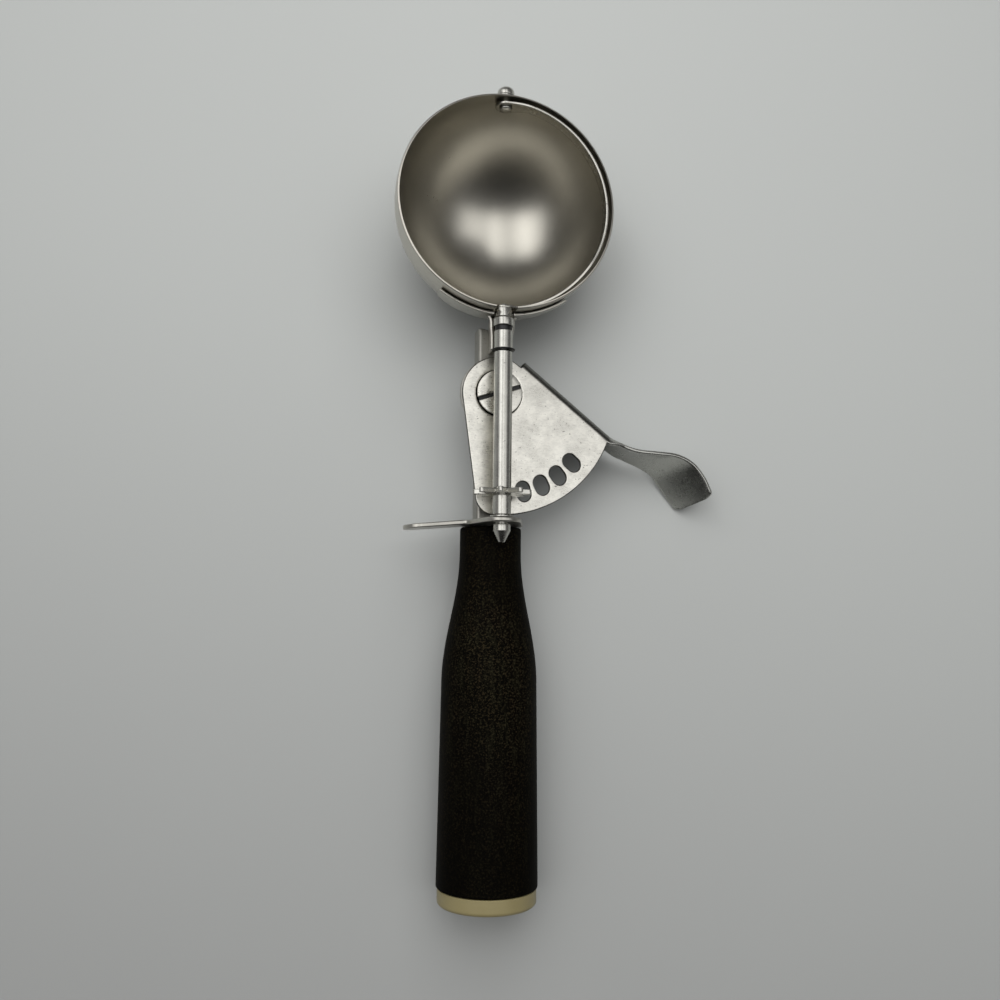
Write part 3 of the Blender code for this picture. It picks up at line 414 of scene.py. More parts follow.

# %% [markdown]
# ## Grip and cap finishes
# The grip is a dark moulded resin that has gone matte with washing. Brown flecks and worn
# patches run along it, and it hardly shines. The flecks thin out towards the butt as painted
# shade for the dimmer light at that end. The cap is an ivory plastic that has yellowed a
# little, with faint clouds and a satin skin.

# %% Resin and ivory plastic
DARK_RESIN = (0.0011, 0.0009, 0.0005)
FLECK = (0.028, 0.0205, 0.0100)
OTHER_FLECK = [c * f for c, f in zip(FLECK, (0.8, 0.95, 1.0))]
GRIP_RESIN, nodes = new_material("grip_resin")
flecks = nodes.noise(1.0, 5.0, 0.65, (700, 90, 700))
speckle = nodes.noise(1700.0, 3.0, 0.7)
patches = nodes.noise(1.0, 3.0, 0.55, (55, 22, 55))
along = nodes.coordinate("Y", nodes.object_place())
# Painted shade: the second factor thins the flecks towards the butt, where the light is dimmer; the patches
# are random wear.
worn = (0.35 + 0.65 * patches.between(0.35, 0.65)) * (0.4 + 0.6 * along.between(0.01, 0.085))
share = (0.9 * speckle.between(0.48, 0.66) + 0.3 * flecks.between(0.48, 0.75)) * worn
tone = nodes.mix(share, DARK_RESIN, nodes.mix(flecks.between(0.4, 0.6), FLECK, OTHER_FLECK))
spread = 0.62 + 0.2 * (speckle - 0.5) + 0.2 * (flecks - 0.5)
paint(nodes, {"Specular IOR Level": 0.03}, {"Base Color": tone, "Roughness": spread},
      speckle + 0.7 * flecks, 0.03, strength=0.6)

IVORY = (0.245, 0.208, 0.102)
STAIN = (0.212, 0.175, 0.082)
CAP_IVORY, nodes = new_material("cap_ivory")
cloud = nodes.noise(110.0, 4.0, 0.6)
fine = nodes.noise(900.0, 2.0, 0.5)
tone = nodes.mix(cloud.between(0.35, 0.75) * 0.6, IVORY, STAIN)
paint(nodes, {"Specular IOR Level": 0.35}, {"Base Color": tone, "Roughness": 0.38 + 0.12 * (fine - 0.5)},
      fine, 0.01, strength=0.3)
print("grip and cap finishes are ready")

# %% [markdown]
# ## Bowl
# Half a sphere of thin sheet with a short straight band at the rim. Its wall is a closed
# profile that runs up the outside, over a lip that is rounded off outwards, and down the
# inside. The lip's height depends on the direction round the bowl, because a notch lets the
# scraper's hub through.

# %% The spun bowl
BOWL_WALL = 0.6
RIM_HEIGHT = BOWL_HIGH[2] - BOWL_CENTRE[2]
NOTCH_HALF = 3.35
COMMON_LEVEL = 4.2


def wall_side(radius, top, share):
    """Points on a sphere that turns into an upright band, from the pole to each direction's own top.

    Shares up to 1 climb to a level under the notch that all directions have in common, and
    shares from 1 to 2 go on to the top. The way up is an arc's length first, then a height.
    """
    quarter = radius * QUARTER
    level = radius * (QUARTER - asin(COMMON_LEVEL / radius))
    reach = radius * (QUARTER + np.arcsin(np.minimum(top, 0) / radius)) + np.maximum(top, 0)
    share = share[:, None]
    s = level * np.minimum(share, 1) + (reach - level) * np.maximum(share - 1, 0)
    out = np.where(s < quarter, radius * np.sin(s / radius), radius)
    up = np.where(s < quarter, -radius * np.cos(s / radius), s - quarter)
    return out, up


notch = asin(NOTCH_HALF / BOWL_RADIUS)
turn = np.concatenate([np.linspace(-notch * 0.999, notch * 0.999, 27),
                       np.linspace(notch * 1.004, TURN - notch * 1.004, 221)])
across = np.abs(BOWL_RADIUS * np.sin(turn))
dip = -np.sqrt(np.maximum(NOTCH_HALF ** 2 - across ** 2, 0))
top = np.where(np.cos(turn) * (across < NOTCH_HALF) > 0, dip, RIM_HEIGHT) - BOWL_WALL / 2
share = np.concatenate([np.linspace(0, 1, 54), np.linspace(1, 2, 11)[1:]])
out_r, out_z = wall_side(BOWL_RADIUS, top, share)
in_r, in_z = wall_side(BOWL_RADIUS - BOWL_WALL, top, share[::-1])
bend = np.linspace(0, QUARTER, 7)[1:, None]
lip_r = in_r[0] + (out_r[-1] - in_r[0]) * np.cos(bend)
lip_z = in_z[0] + (out_z[-1] - in_z[0]) * np.cos(bend) + BOWL_WALL / 2 * np.sin(bend)
r = np.vstack([out_r, lip_r, in_r])
points = together(r * np.sin(turn), -r * np.cos(turn), np.vstack([out_z, lip_z, in_z]))
faces = grid(points, wrap_columns=True)
add_piece("bowl_shell", "bowl", points, faces, SPUN_STEEL, BOWL_CENTRE)

# %% [markdown]
# ## Scraper blade
# A band of spring steel on a sphere slightly smaller than the bowl. It runs just under the
# rim from nose to hub, and at each end a round tab comes down over the axis that it turns on.
# Width and height ease into the two tabs, quickly at the nose and slowly at the hub, where
# the band sags further below the rim.

# %% The scraper band
BLADE_THICKNESS = 0.9
BLADE_GAP = 0.7
BLADE_HALF = 2.2
BLADE_RISE = 2.0
TAB_RADII = (3.4, 2.3)
TAB_RISES = (0.0, -0.9)
TAB_SHARE = 0.985
EASE_RUNS = (8.5, 34.0)
SAG = 1.7
SAG_RUNS = (1.0, 5.0)
SAG_ENDS = (14.0, 34.0)
BLADE_MIDDLE = BOWL_RADIUS - BOWL_WALL - BLADE_GAP - BLADE_THICKNESS / 2
beyond = np.sin(np.linspace(0, QUARTER, 12))[1:] * TAB_SHARE / BLADE_MIDDLE
turn = np.concatenate([-beyond[::-1] * TAB_RADII[0], np.linspace(0, pi, 141),
                       pi + beyond * TAB_RADII[1]])[:, None]
at_nose = turn < QUARTER
tab = np.where(at_nose, *TAB_RADII)
rest = np.where(at_nose, *TAB_RISES)
past = np.maximum(np.maximum(-turn, turn - pi), 0) * BLADE_MIDDLE
inward = np.minimum(turn, pi - turn) * BLADE_MIDDLE
ease = smoothstep(0, np.where(at_nose, *EASE_RUNS), inward)
half = np.sqrt(tab ** 2 - past ** 2) + (BLADE_HALF - tab) * ease
sag = SAG * smoothstep(*SAG_RUNS, inward) * (1 - smoothstep(*SAG_ENDS, inward)) * ~at_nose
rise = rest + (BLADE_RISE - rest) * ease - sag + half * np.linspace(-1, 1, 9)
reach = np.sqrt(BLADE_MIDDLE ** 2 - rise ** 2)
points = together(reach * np.sin(turn), reach * np.cos(turn), rise)
blade = add_piece("scraper_band", "scraper_blade", points, grid(points), STRIP_STEEL, place=BOWL_CENTRE)
press(blade, BLADE_THICKNESS)

# %% [markdown]
# ## Nose pin, hub and shaft
# All of these are turned on a lathe, so each is a profile carried round the axis with its
# corners eased. Their lengths and radii come from the boxes of the solids. The pin has a
# domed head, a shank through the wall and a peened tail inside the blade's tab.

# %% Turned pieces, and the nose pin with its washer
SHAFT_AT = (0, 0, BOWL_CENTRE[2])
TURNED_STEPS = 96
CORE_BORE = 2.25
PIN_RADIUS = 1.5
PEEN_RADIUS = 2.05
DOME_DEPTH = 1.9
HEAD_DEPTH = 3.1


def turned_piece(name, node, profile, edges, material=TURNED_STEEL, axis=1, place=SHAFT_AT, ring=False,
                 slot="steel", steps=5):
    """A surface of revolution through (distance from the axis, place along it) corners, which are eased.

    A point at distance r and angle t is (r cos t, r sin t) across the axis. A ring's profile
    closes on itself, and any other profile starts and ends on the axis.
    """
    r, along = rounded(profile, edges, ring, steps).T[..., None]
    t = TURN * np.arange(TURNED_STEPS) / TURNED_STEPS
    points = about(axis, r * np.cos(t), r * np.sin(t), along)
    faces = grid(points, wrap_rows=ring, wrap_columns=True)
    even_normals(add_piece(name, node, points, faces, material, place))


def tube_piece(name, node, low, high, outer, bore, edge, **finish):
    """A ring with an outer and an inner wall."""
    walls = [(outer, high), (outer, low), (bore, low), (bore, high)]
    turned_piece(name, node, walls, edge, ring=True, **finish)


low, high, radius = span("nose_pin")
head_low = high - HEAD_DEPTH
inside = BOWL_CENTRE[1] + BLADE_MIDDLE - BLADE_THICKNESS / 2 - 0.05
t = np.linspace(0, QUARTER, 9)
dome = np.stack([radius * np.sin(t), high - DOME_DEPTH * (1 - np.cos(t))], -1)
profile = [*dome, (radius, head_low), (PIN_RADIUS, head_low), (PIN_RADIUS, inside), (PEEN_RADIUS, inside),
           (PEEN_RADIUS, low + 0.35), (0.9, low), (0, low)]
turned_piece("nose_rivet", "nose_pin", profile, [*[0] * len(dome), 0.2, 0, 0, 0.2, 0.4, 0.3, 0])
tube_piece("nose_collar", "nose_washer", *span("nose_washer"), PIN_RADIUS + 0.1, 0.22)

# %% [markdown]
# The hub is a collar with a neck and a spigot that carries the blade's tab. The shaft is a
# thick rod with two thinner ends, and small rings, a bush and a ferrule are threaded on it.

# %% The hub and the shaft
HUB_DROP = 0.5
NECK = 2.8
SPIGOT_RADIUS = 1.2
CORE = 2.0
low, high, radius = span("scraper_hub")
low -= HUB_DROP
end = high - 0.8
shoulder = high - 2.3
socket = shoulder - 1.5
profile = [(0, end), (SPIGOT_RADIUS, end), (SPIGOT_RADIUS, shoulder), (NECK, shoulder), (NECK, low + 2.9),
           (radius, low + 2.4), (radius, low), (CORE_BORE, low), (CORE_BORE, socket), (0, socket)]
turned_piece("hub_collar", "scraper_hub", profile, [0, 0.4, 0, 0.25, 0.3, 0.25, 0.25, 0, 0, 0])

low, high, radius = span("drive_shaft")
shoulder = span("star_wheel")[1] + SEAT_GAP
top = span("snap_ring")[0] - SEAT_GAP
profile = [(0, high), (CORE, high), (CORE, top), (radius, top), (radius, shoulder), (CORE, shoulder),
           (CORE, low), (0, low)]
turned_piece("shaft_rod", "drive_shaft", profile, [0, 0.2, 0, 0.4, 0.2, 0, 0.2, 0])

# %% The rings on the shaft, and the ferrule
BUSH_RADIUS = 2.95
SHADED_GAP_RADIUS = 2.7
FERRULE_TIP = 0.95
DARK_RING = {"material": DARK_STEEL_AND_SHADE, "slot": "dark_steel"}
for name, node, edge in (("spacer", "spacer_tube", 0.15), ("bolster_washer", "thrust_washer", 0.2)):
    tube_piece(name, node, *span(node), CORE_BORE, edge)
low, high, radius = span("snap_ring")
ring_top = high - 0.25
bush_top = span("bearing_sleeve")[1] - SEAT_GAP
collar_low = span("scraper_hub")[0] - HUB_DROP
tube_piece("retaining_ring", "snap_ring", low, ring_top, radius, CORE_BORE, 0.12, **DARK_RING)
tube_piece("bearing_bush", "bearing_sleeve", ring_top + 0.02, bush_top, BUSH_RADIUS, CORE_BORE, 0.25)
# A black ring fills the gap between the bush and the hub's collar: painted shade for that shadowed gap.
tube_piece("shaded_gap_ring", "snap_ring", bush_top + 0.02, collar_low, SHADED_GAP_RADIUS, CORE_BORE, 0.1, **DARK_RING)

low, high, radius = span("shaft_ferrule")
barrel = high - 2.1
profile = [(0, barrel), (CORE_BORE, barrel), (CORE_BORE, high), (radius, high), (radius, barrel),
           (FERRULE_TIP, low + 0.15), (0, low)]
turned_piece("shaft_tip", "shaft_ferrule", profile, [0, 0, 0.1, 0.25, 0.35, 0.4, 0])

# %% [markdown]
# ## Flat plates with holes
# A star wheel or a sector plate is an outline with holes in it. Delaunay triangulation fills
# the whole sheet with well shaped triangles, and those that fall outside are left out.

# %% Fill an outline
SLIVER = 0.0005


def inside_outline(points, outline):
    """Which points lie inside an outline, by counting the sides that a ray to the right crosses."""
    x, y = points[:, :1], points[:, 1:]
    x0, y0 = outline.T
    x1, y1 = np.roll(x0, -1), np.roll(y0, -1)
    between = (y0 > y) != (y1 > y)
    rise = np.where(y1 == y0, 1e-12, y1 - y0)
    crossing = x < (x1 - x0) * (y - y0) / rise + x0
    return (between & crossing).sum(1) % 2 == 1


def fill(outline, holes=(), extra=()):
    """Triangles inside an outline and outside its holes, as points in the plane and faces."""
    loops = [outline, *holes]
    points = np.vstack([*loops, *extra])
    edges = []
    start = 0
    for loop in loops:
        numbers = np.arange(len(loop))
        edges += np.stack([numbers + start, np.roll(numbers, -1) + start], -1).tolist()
        start += len(loop)
    made = delaunay_2d_cdt([Vector(p) for p in points.tolist()], edges, [], 0, 1e-6)
    flat = np.array([tuple(p) for p in made[0]])
    faces = np.array(made[2])
    middle = flat[faces].mean(1)
    side, other = flat[faces[:, 1]] - flat[faces[:, 0]], flat[faces[:, 2]] - flat[faces[:, 0]]
    area = np.abs(side[:, 0] * other[:, 1] - side[:, 1] * other[:, 0]) / 2
    keep = inside_outline(middle, outline) & (area > SLIVER)
    for hole in holes:
        keep &= ~inside_outline(middle, hole)
    return flat, faces[keep]


def turned_by(flat, angles):
    """The same points turned by each of some angles: (x cos - y sin, x sin + y cos)."""
    x, y = flat.T
    c, s = np.cos(angles)[:, None], np.sin(angles)[:, None]
    return np.stack([x * c - y * s, x * s + y * c], -1)


# %% [markdown]
# ## Star wheel
# Eight finger teeth with round tips. It stands across the shaft, and its teeth drop into the
# sector's slots one after another. One tooth's outline is turned to each of the eight places.

# %% The star wheel
STAR_TEETH = 8
STAR_TIP = 9.08
STAR_ROOT = 4.7
STAR_VALLEY = 4.4
STAR_PHASE = radians(16)
TIP_ROUND = 0.85
TIP_SWEEP = 1.45
ROOT_HALF = 1.55
tip = circle_arc(TIP_ROUND, -TIP_SWEEP, TIP_SWEEP, 11, (STAR_TIP - TIP_ROUND, 0))
valley = pi / STAR_TEETH
end = [(STAR_VALLEY * cos(valley), STAR_VALLEY * sin(valley))]
tooth = np.vstack([[(STAR_ROOT, -ROOT_HALF)], tip, [(STAR_ROOT, ROOT_HALF)], end])
outline = turned_by(tooth, STAR_PHASE - QUARTER + TURN * np.arange(STAR_TEETH) / STAR_TEETH)
flat, faces = fill(outline.reshape(-1, 2), [circle(CORE_BORE, 40)])
low, high, _ = span("star_wheel")
points = together(flat[:, 0], (low + high) / 2, flat[:, 1])
star = add_piece("star_teeth", "star_wheel", points, faces, TURNED_STEEL, place=SHAFT_AT)
press(star, high - low)

# %% [markdown]
# ## Sector and thumb lever
# One stamping. The slotted plate turns down into a flange, and past the plate the flange runs
# on as a strip that warps into the thumb pad. Plate, bend and strip share their points, so
# the whole lever is one middle surface and gets its thickness in one go. The plate's outline
# is hub, straight left side, rounded corner, outer arc, and back up along the bend.

# %% The sector plate's outline and slots
SHEET = 1.3
SECTOR_TOP = 7.2
SECTOR_RADIUS = 39.2
HUB_RADIUS = 11.9
HUB_TOP = radians(84)
LEFT_SIDE = radians(188)
SECTOR_CORNER = 6.0
SLOT_CIRCLE = 32.4
SLOT_PITCH = radians(11.25)
SLOT_FIRST = radians(3.6)
SLOT_COUNT = 5
SLOT_HALF = 2.25
SLOT_RUN = 0.95
FLANGE_OFFSET = 13.75
FLANGE_NORMAL = radians(51.4)
BEND_RADIUS = 2.3
NORMAL = np.array([cos(FLANGE_NORMAL), sin(FLANGE_NORMAL)])
TANGENT = np.array([NORMAL[1], -NORMAL[0]])
BEND_LINE = FLANGE_OFFSET - BEND_RADIUS
PLATE_RUN = sqrt(SECTOR_RADIUS ** 2 - BEND_LINE ** 2)
RUN_STEPS = np.linspace(0, PLATE_RUN, 60)


def slot_outline(angle):
    """An obround hole whose long side points at the pivot."""
    heading = angle - QUARTER
    way = np.array([cos(heading), sin(heading)])
    ends = [(heading - side * pi / 2, way * (SLOT_CIRCLE + side * SLOT_RUN)) for side in (1, -1)]
    return np.vstack([circle_arc(SLOT_HALF, start, start + pi, 14, middle) for start, middle in ends])


hub = circle_arc(HUB_RADIUS, HUB_TOP, LEFT_SIDE, 40)
far = SECTOR_RADIUS - SECTOR_CORNER
corner = LEFT_SIDE + acos((HUB_RADIUS - SECTOR_CORNER) / far)
corner_arc = circle_arc(SECTOR_CORNER, LEFT_SIDE, corner, 16, (far * cos(corner), far * sin(corner)))[1:]
bend_end = FLANGE_NORMAL - acos(BEND_LINE / SECTOR_RADIUS)
outer = circle_arc(SECTOR_RADIUS, corner, TURN + bend_end, 70)[1:-1]
run = NORMAL * BEND_LINE + TANGENT * RUN_STEPS[::-1, None]
t = np.linspace(0, 1, 12)[1:-1]
angle = FLANGE_NORMAL + (HUB_TOP - FLANGE_NORMAL) * t
radius = BEND_LINE + (HUB_RADIUS - BEND_LINE) * smoothstep(0, 1, t)
top = np.stack([radius * np.cos(angle), radius * np.sin(angle)], -1)
SECTOR_OUTLINE = np.vstack([hub, corner_arc, outer, run, top])
SLOTS = [slot_outline(SLOT_FIRST + k * SLOT_PITCH) for k in range(SLOT_COUNT)]
print("sector outline:", len(SECTOR_OUTLINE), "points,", len(SLOTS), "slots")

# %% [markdown]
# The flange's two edges are smooth curves through a few places each. At every station a
# cross-section leaves the plate, turns down round the bend and runs to the far edge. Past
# the plate the bend tightens and unrolls over a few millimetres and leaves a plain edge.

# %% The two edges of the flange and thumb strip
STRIP_TOP = 6.55
STRIP_LOW = SECTOR_TOP - 13.6
NEAR = [(42.6, -15.2, 0), (48.0, -16.5, 0), (54.2, -16.7, 0.2), (61.2, -17.2, 0.8), (66.5, -19.7, 1.3),
        (70.3, -24.2, 1.5), (72.7, -28.9, 1.3)]
FAR = [(41.5, -15.0, 0), (46.2, -17.2, 0), (52.8, -20.0, 0), (57.0, -22.5, -0.4), (60.2, -26.3, -0.9),
       (62.9, -29.9, -1.1), (65.4, -33.1, -0.8)]
FLANGE_STEPS = [(0.0, 5.0), (9.0, 10.0), (18.0, 13.6), (30.0, 13.6)]
UNROLL_RUN = 7.0
CURVE_STEPS = 24


def smooth_curve(places):
    """Close points on a curve through the places, and how far along it each of them lies.

    Between two places b and c the curve is the cubic that also leans on their neighbours a
    and d: half of 2b + (c-a)t + (2a-5b+4c-d)t² + (3b-a-3c+d)t³.
    """
    p = np.asarray(places, float)
    p = np.vstack([2 * p[0] - p[1], p, 2 * p[-1] - p[-2]])
    a, b, c, d = (p[k:len(p) - 3 + k, None] for k in range(4))
    t = np.linspace(0, 1, CURVE_STEPS, endpoint=False)[:, None]
    squared, cubed = 2 * a - 5 * b + 4 * c - d, 3 * b - a - 3 * c + d
    fine = 0.5 * (2 * b + (c - a) * t + squared * t ** 2 + cubed * t ** 3)
    fine = np.vstack([fine.reshape(-1, p.shape[1]), p[-2]])
    return fine, lengths_along(fine)


def lengths_along(points):
    """How far along a row of points each of them lies."""
    return np.concatenate([[0], np.cumsum(norm(np.diff(points, axis=0), axis=1))])


def at_lengths(fine, length, goals):
    """Points of a curve at the given distances along it."""
    return np.stack([np.interp(goals, length, fine[:, k]) for k in range(fine.shape[1])], -1)


def on_flange(along):
    return NORMAL * FLANGE_OFFSET + TANGENT * along


near_places = [(*on_flange(along), STRIP_TOP) for along in (0, 10, 20, 30, PLATE_RUN)]
near_places += [(x, y, STRIP_TOP + z) for x, y, z in NEAR]
far_places = [(*on_flange(along), SECTOR_TOP - depth) for along, depth in FLANGE_STEPS]
far_places += [(x, y, STRIP_LOW + z) for x, y, z in FAR]
fine, length = smooth_curve(near_places)
plate_end = length[4 * CURVE_STEPS]
beyond = np.linspace(plate_end, length[-1], 75)[1:]
near = np.vstack([np.column_stack([on_flange(RUN_STEPS[:, None]), np.full(len(RUN_STEPS), STRIP_TOP)]),
                  at_lengths(fine, length, beyond)])
share = np.concatenate([RUN_STEPS / PLATE_RUN * plate_end, beyond]) / length[-1]
unrolled = smoothstep(0, UNROLL_RUN, share * length[-1] - plate_end)[:, None]
fine, length = smooth_curve(far_places)
far = at_lengths(fine, length, share * length[-1])
print("the strip has", len(near), "cross-sections")

# %% Bend, flange and thumb pad as one grid
UNROLLED_BEND = 1.2
UNROLLED_START = radians(76)
BEND_COLUMNS = 7
STRIP_COLUMNS = 19
PAD_ROUNDING = 4.0
PAD_BULGE = 1.7
bend_radius = BEND_RADIUS + (UNROLLED_BEND - BEND_RADIUS) * unrolled
ahead = np.gradient(near[:, :2], axis=0)
ahead /= norm(ahead, axis=1, keepdims=True)
inward = np.stack([ahead[:, 1], -ahead[:, 0], np.zeros(len(near))], -1)
inward[:len(RUN_STEPS), :2] = -NORMAL
lift = near + np.array([0, 0, 1]) * bend_radius * unrolled
down = far - lift
down /= norm(down, axis=1, keepdims=True)
centre = lift + (inward + down) * bend_radius
start = unrolled * UNROLLED_START
angle = (start + (QUARTER - start) * np.linspace(0, 1, BEND_COLUMNS))[..., None]
outwards = down[:, None] * np.cos(angle) + inward[:, None] * np.sin(angle)
bend = centre[:, None] - bend_radius[:, None] * outwards
share = np.linspace(0, 1, STRIP_COLUMNS - BEND_COLUMNS + 1)[1:, None]
straight = bend[:, -1:] + (far[:, None] - bend[:, -1:]) * share
rows = np.concatenate([bend, straight], 1)
for k, row in enumerate(rows):
    length = lengths_along(row)
    even = np.linspace(0, length[-1], len(length))
    rows[k] = at_lengths(row.copy(), length, length + (even - length) * unrolled[k])
first, last = rows[-1, 0], rows[-1, -1]
lead = (rows[-1] - rows[-3]).mean(0)
lead /= norm(lead)
t = np.linspace(0.25, 1.45, 7)[:, None]
inset = PAD_ROUNDING * (1 - np.cos(t)) / norm(last - first)
place = inset + (1 - 2 * inset) * np.linspace(0, 1, STRIP_COLUMNS)
pad_end = first + (last - first) * place[..., None] + lead * (PAD_BULGE * np.sin(t))[..., None]
strip = np.concatenate([rows, pad_end], 0)
print("flange and thumb pad:", strip.shape[:2])

# %% [markdown]
# The plate has a shallow dish round the screw, so rings of extra points are filled in there.
# Plate and strip are merged along the bend's first column.

# %% The lever
DISH_RINGS = (6.4, 7.0, 7.35, 7.6, 7.9, 8.2, 8.8)
DISH_DEPTH = 0.45
SCREW_BORE = 4.3
LEVER_EDGE = 0.45
flat, faces = fill(SECTOR_OUTLINE, [circle(SCREW_BORE, 48), *SLOTS], [circle(r, 72) for r in DISH_RINGS])
level = SECTOR_TOP - SHEET / 2 - DISH_DEPTH * (1 - smoothstep(7.2, 8.0, norm(flat, axis=1)))
points = np.vstack([np.column_stack([flat, level]), strip.reshape(-1, 3)])
quads = grid(strip) + len(flat)
faces = np.array(faces.tolist() + quads.tolist(), dtype=object)
lever = add_piece("sector_and_thumb_lever", "sector_lever", points, faces, PLATE_STEEL, place=PIVOT)
press(lever, SHEET, LEVER_EDGE)

# %% [markdown]
# ## Pivot
# A wide slotted screw holds the sector in a shallow dish. Behind it sit a bush, a cup with
# the return spring, the stem's web, a washer and a nut. The screw's shank and lower disc are
# turned, and two segments of a disc stand on it with the slot between them. A segment is the
# part beyond a chord, and it sinks with the square of the distance from the middle.

# %% The pivot screw
SCREW_SLOT_HALF = 0.55
SCREW_SLOT_DEPTH = 0.9
SCREW_SLOT_TURN = radians(19)
SCREW_DOME = 0.2
SHANK = 1.8
ON_PIVOT = {"axis": 2, "place": PIVOT}
low, high, radius = span("pivot_screw", 2)
head_low = high - 1.5
floor = high - SCREW_SLOT_DEPTH
disc = radius - 0.25
profile = [(0, floor), (disc, floor), (disc, head_low), (SHANK, head_low), (SHANK, low), (0, low)]
# The shank is dark steel because its disc is the floor of the screw's slot: painted shade for that narrow
# slot.
turned_piece("screw_shank", "pivot_screw", profile, [0, 0.1, 0.2, 0, 0.3, 0], DARK_STEEL_AND_SHADE, **ON_PIVOT)
chord = asin(SCREW_SLOT_HALF / radius)
outline = circle_arc(radius, chord, pi - chord, 60)
rings = [(r, asin(0.9 / r)) for r in (2.5, 4.5, 6.0)]
rings = [circle_arc(r, start, pi - start, 30) for r, start in rings]
flat, faces = fill(outline, extra=rings)
height = high - SCREW_SLOT_DEPTH / 2 - SCREW_DOME * ((flat ** 2).sum(1) / radius ** 2)
halves = turned_by(flat, SCREW_SLOT_TURN + pi * np.arange(2))
points = together(halves[..., 0], halves[..., 1], height)
faces = np.vstack([faces, faces + len(flat)])
head = add_piece("slotted_screw", "pivot_screw", points, faces, PLATE_STEEL, place=PIVOT)
press(head, SCREW_SLOT_DEPTH, 0.16)

# %% [markdown]
# The spring is round wire carried along a coil that is drawn in as it climbs. A point of the
# wire is the coil's middle line plus w cos b outwards and w sin b upwards.

# %% The stack behind the sector
PIVOT_BORE = 2.05
CUP_WALL = 0.7
CUP_BORE = 4.3
WIRE = 0.4
COIL_TURNS = 2.75
COIL_RADII = (10.4, 6.2)
NUT_CHAMFER = 0.06
for name, node in (("pivot_bush", "pivot_bushing"), ("back_washer", "pivot_washer")):
    tube_piece(name, node, *span(node, 2), PIVOT_BORE, 0.15, **ON_PIVOT)
low, high, radius = span("spring_cup", 2)
floor, inner = low + CUP_WALL, radius - CUP_WALL
profile = [(radius, high), (radius, low), (CUP_BORE, low), (CUP_BORE, floor), (inner, floor), (inner, high)]
turned_piece("return_spring_cup", "spring_cup", profile, [0.2, 0.9, 0.1, 0.1, 0.4, 0.2], FRAME_STEEL,
             ring=True, **ON_PIVOT)

low, high, _ = span("torsion_spring", 2)
share = np.linspace(0, 1, 264)[:, None]
thick = WIRE * np.minimum(1, np.sqrt(np.minimum(share, 1 - share) * 90))
angle = TURN * COIL_TURNS * share
b = TURN * np.arange(14) / 14
r = COIL_RADII[0] + (COIL_RADII[1] - COIL_RADII[0]) * share + thick * np.cos(b)
height = low + WIRE + (high - low - 2 * WIRE) * share + thick * np.sin(b)
points = together(r * np.cos(angle), r * np.sin(angle), height)
faces = grid(points, wrap_columns=True)
add_piece("return_spring", "torsion_spring", points, faces, STRIP_STEEL, place=PIVOT)


def nut_piece(name, node, across, bore, first, axis, place):
    """A hexagon nut: its outer distance at angle t is half the width / cos(t to the nearest flat)."""
    low, high, _ = span(node, axis)
    t = TURN * np.arange(120) / 120
    nearest = (t - first + pi / 6) % (pi / 3) - pi / 6
    flat = across / 2 / np.cos(nearest)
    chamfer = np.minimum(flat, across / 2 * (1 + NUT_CHAMFER))
    face = chamfer * (1 - NUT_CHAMFER)
    ease = NUT_CHAMFER * across
    rows = [(bore, high), (face, high), (chamfer, high - ease), (flat, high - 0.5), (flat, low + 0.5),
            (chamfer, low + ease), (face, low), (bore, low)]
    r = np.stack([out * np.ones(len(t)) for out, _ in rows])
    h = np.array([[level] for _, level in rows])
    points = about(axis, r * np.cos(t), r * np.sin(t), h)
    faces = grid(points, wrap_rows=True, wrap_columns=True)
    even_normals(add_piece(name, node, points, faces, FRAME_STEEL, place=place))


nut_piece("back_nut", "pivot_nut", 5.8, PIVOT_BORE, 0, **ON_PIVOT)

# %% [markdown]
# ## Stem
# A U-channel that ties the saddle to the bolster, web towards the sector and cut off at a
# slant near the bowl. Its middle line is carried along Y, and each line ends at the slant.

# %% The U-channel stem
STEM_SLANT = tan(radians(11))
STEM_TOP = 180.4
STEM_BEND = 0.45
low, high = corners("frame_stem")
half = high[0] - SHEET / 2
top, bottom = high[2] - SHEET / 2, low[2]
bends = [(-half, bottom), (-half, top), (half, top), (half, bottom)]
bends = rounded(bends, STEM_BEND, closed=False, steps=9)
section = np.vstack([np.linspace(bends[0], bends[1], 6)[:-1], bends[1:-1],
                     np.linspace(bends[-2], bends[-1], 6)[1:]])
end = STEM_TOP - STEM_SLANT * section[:, 0]
y = low[1] + (end - low[1]) * np.linspace(0, 1, 60)[:, None]
points = together(section[:, 0], y, section[:, 1])
press(add_piece("stem_channel", "frame_stem", points, grid(points), STEM_STEEL), SHEET)

# %% [markdown]
# ## Saddle
# The yoke is one pressing: a trough round the bearing bush that flares out like a bell and
# becomes two arms on the bowl. About the shaft's axis it is a polar grid. Its first stations
# are the trough, whose walls are cut down beside the bush, then the flare, then the arms out to
# a rounded rectangle: at angle t they end where |cos t/a|^5 + |sin t/b|^5 = 1/distance^5.

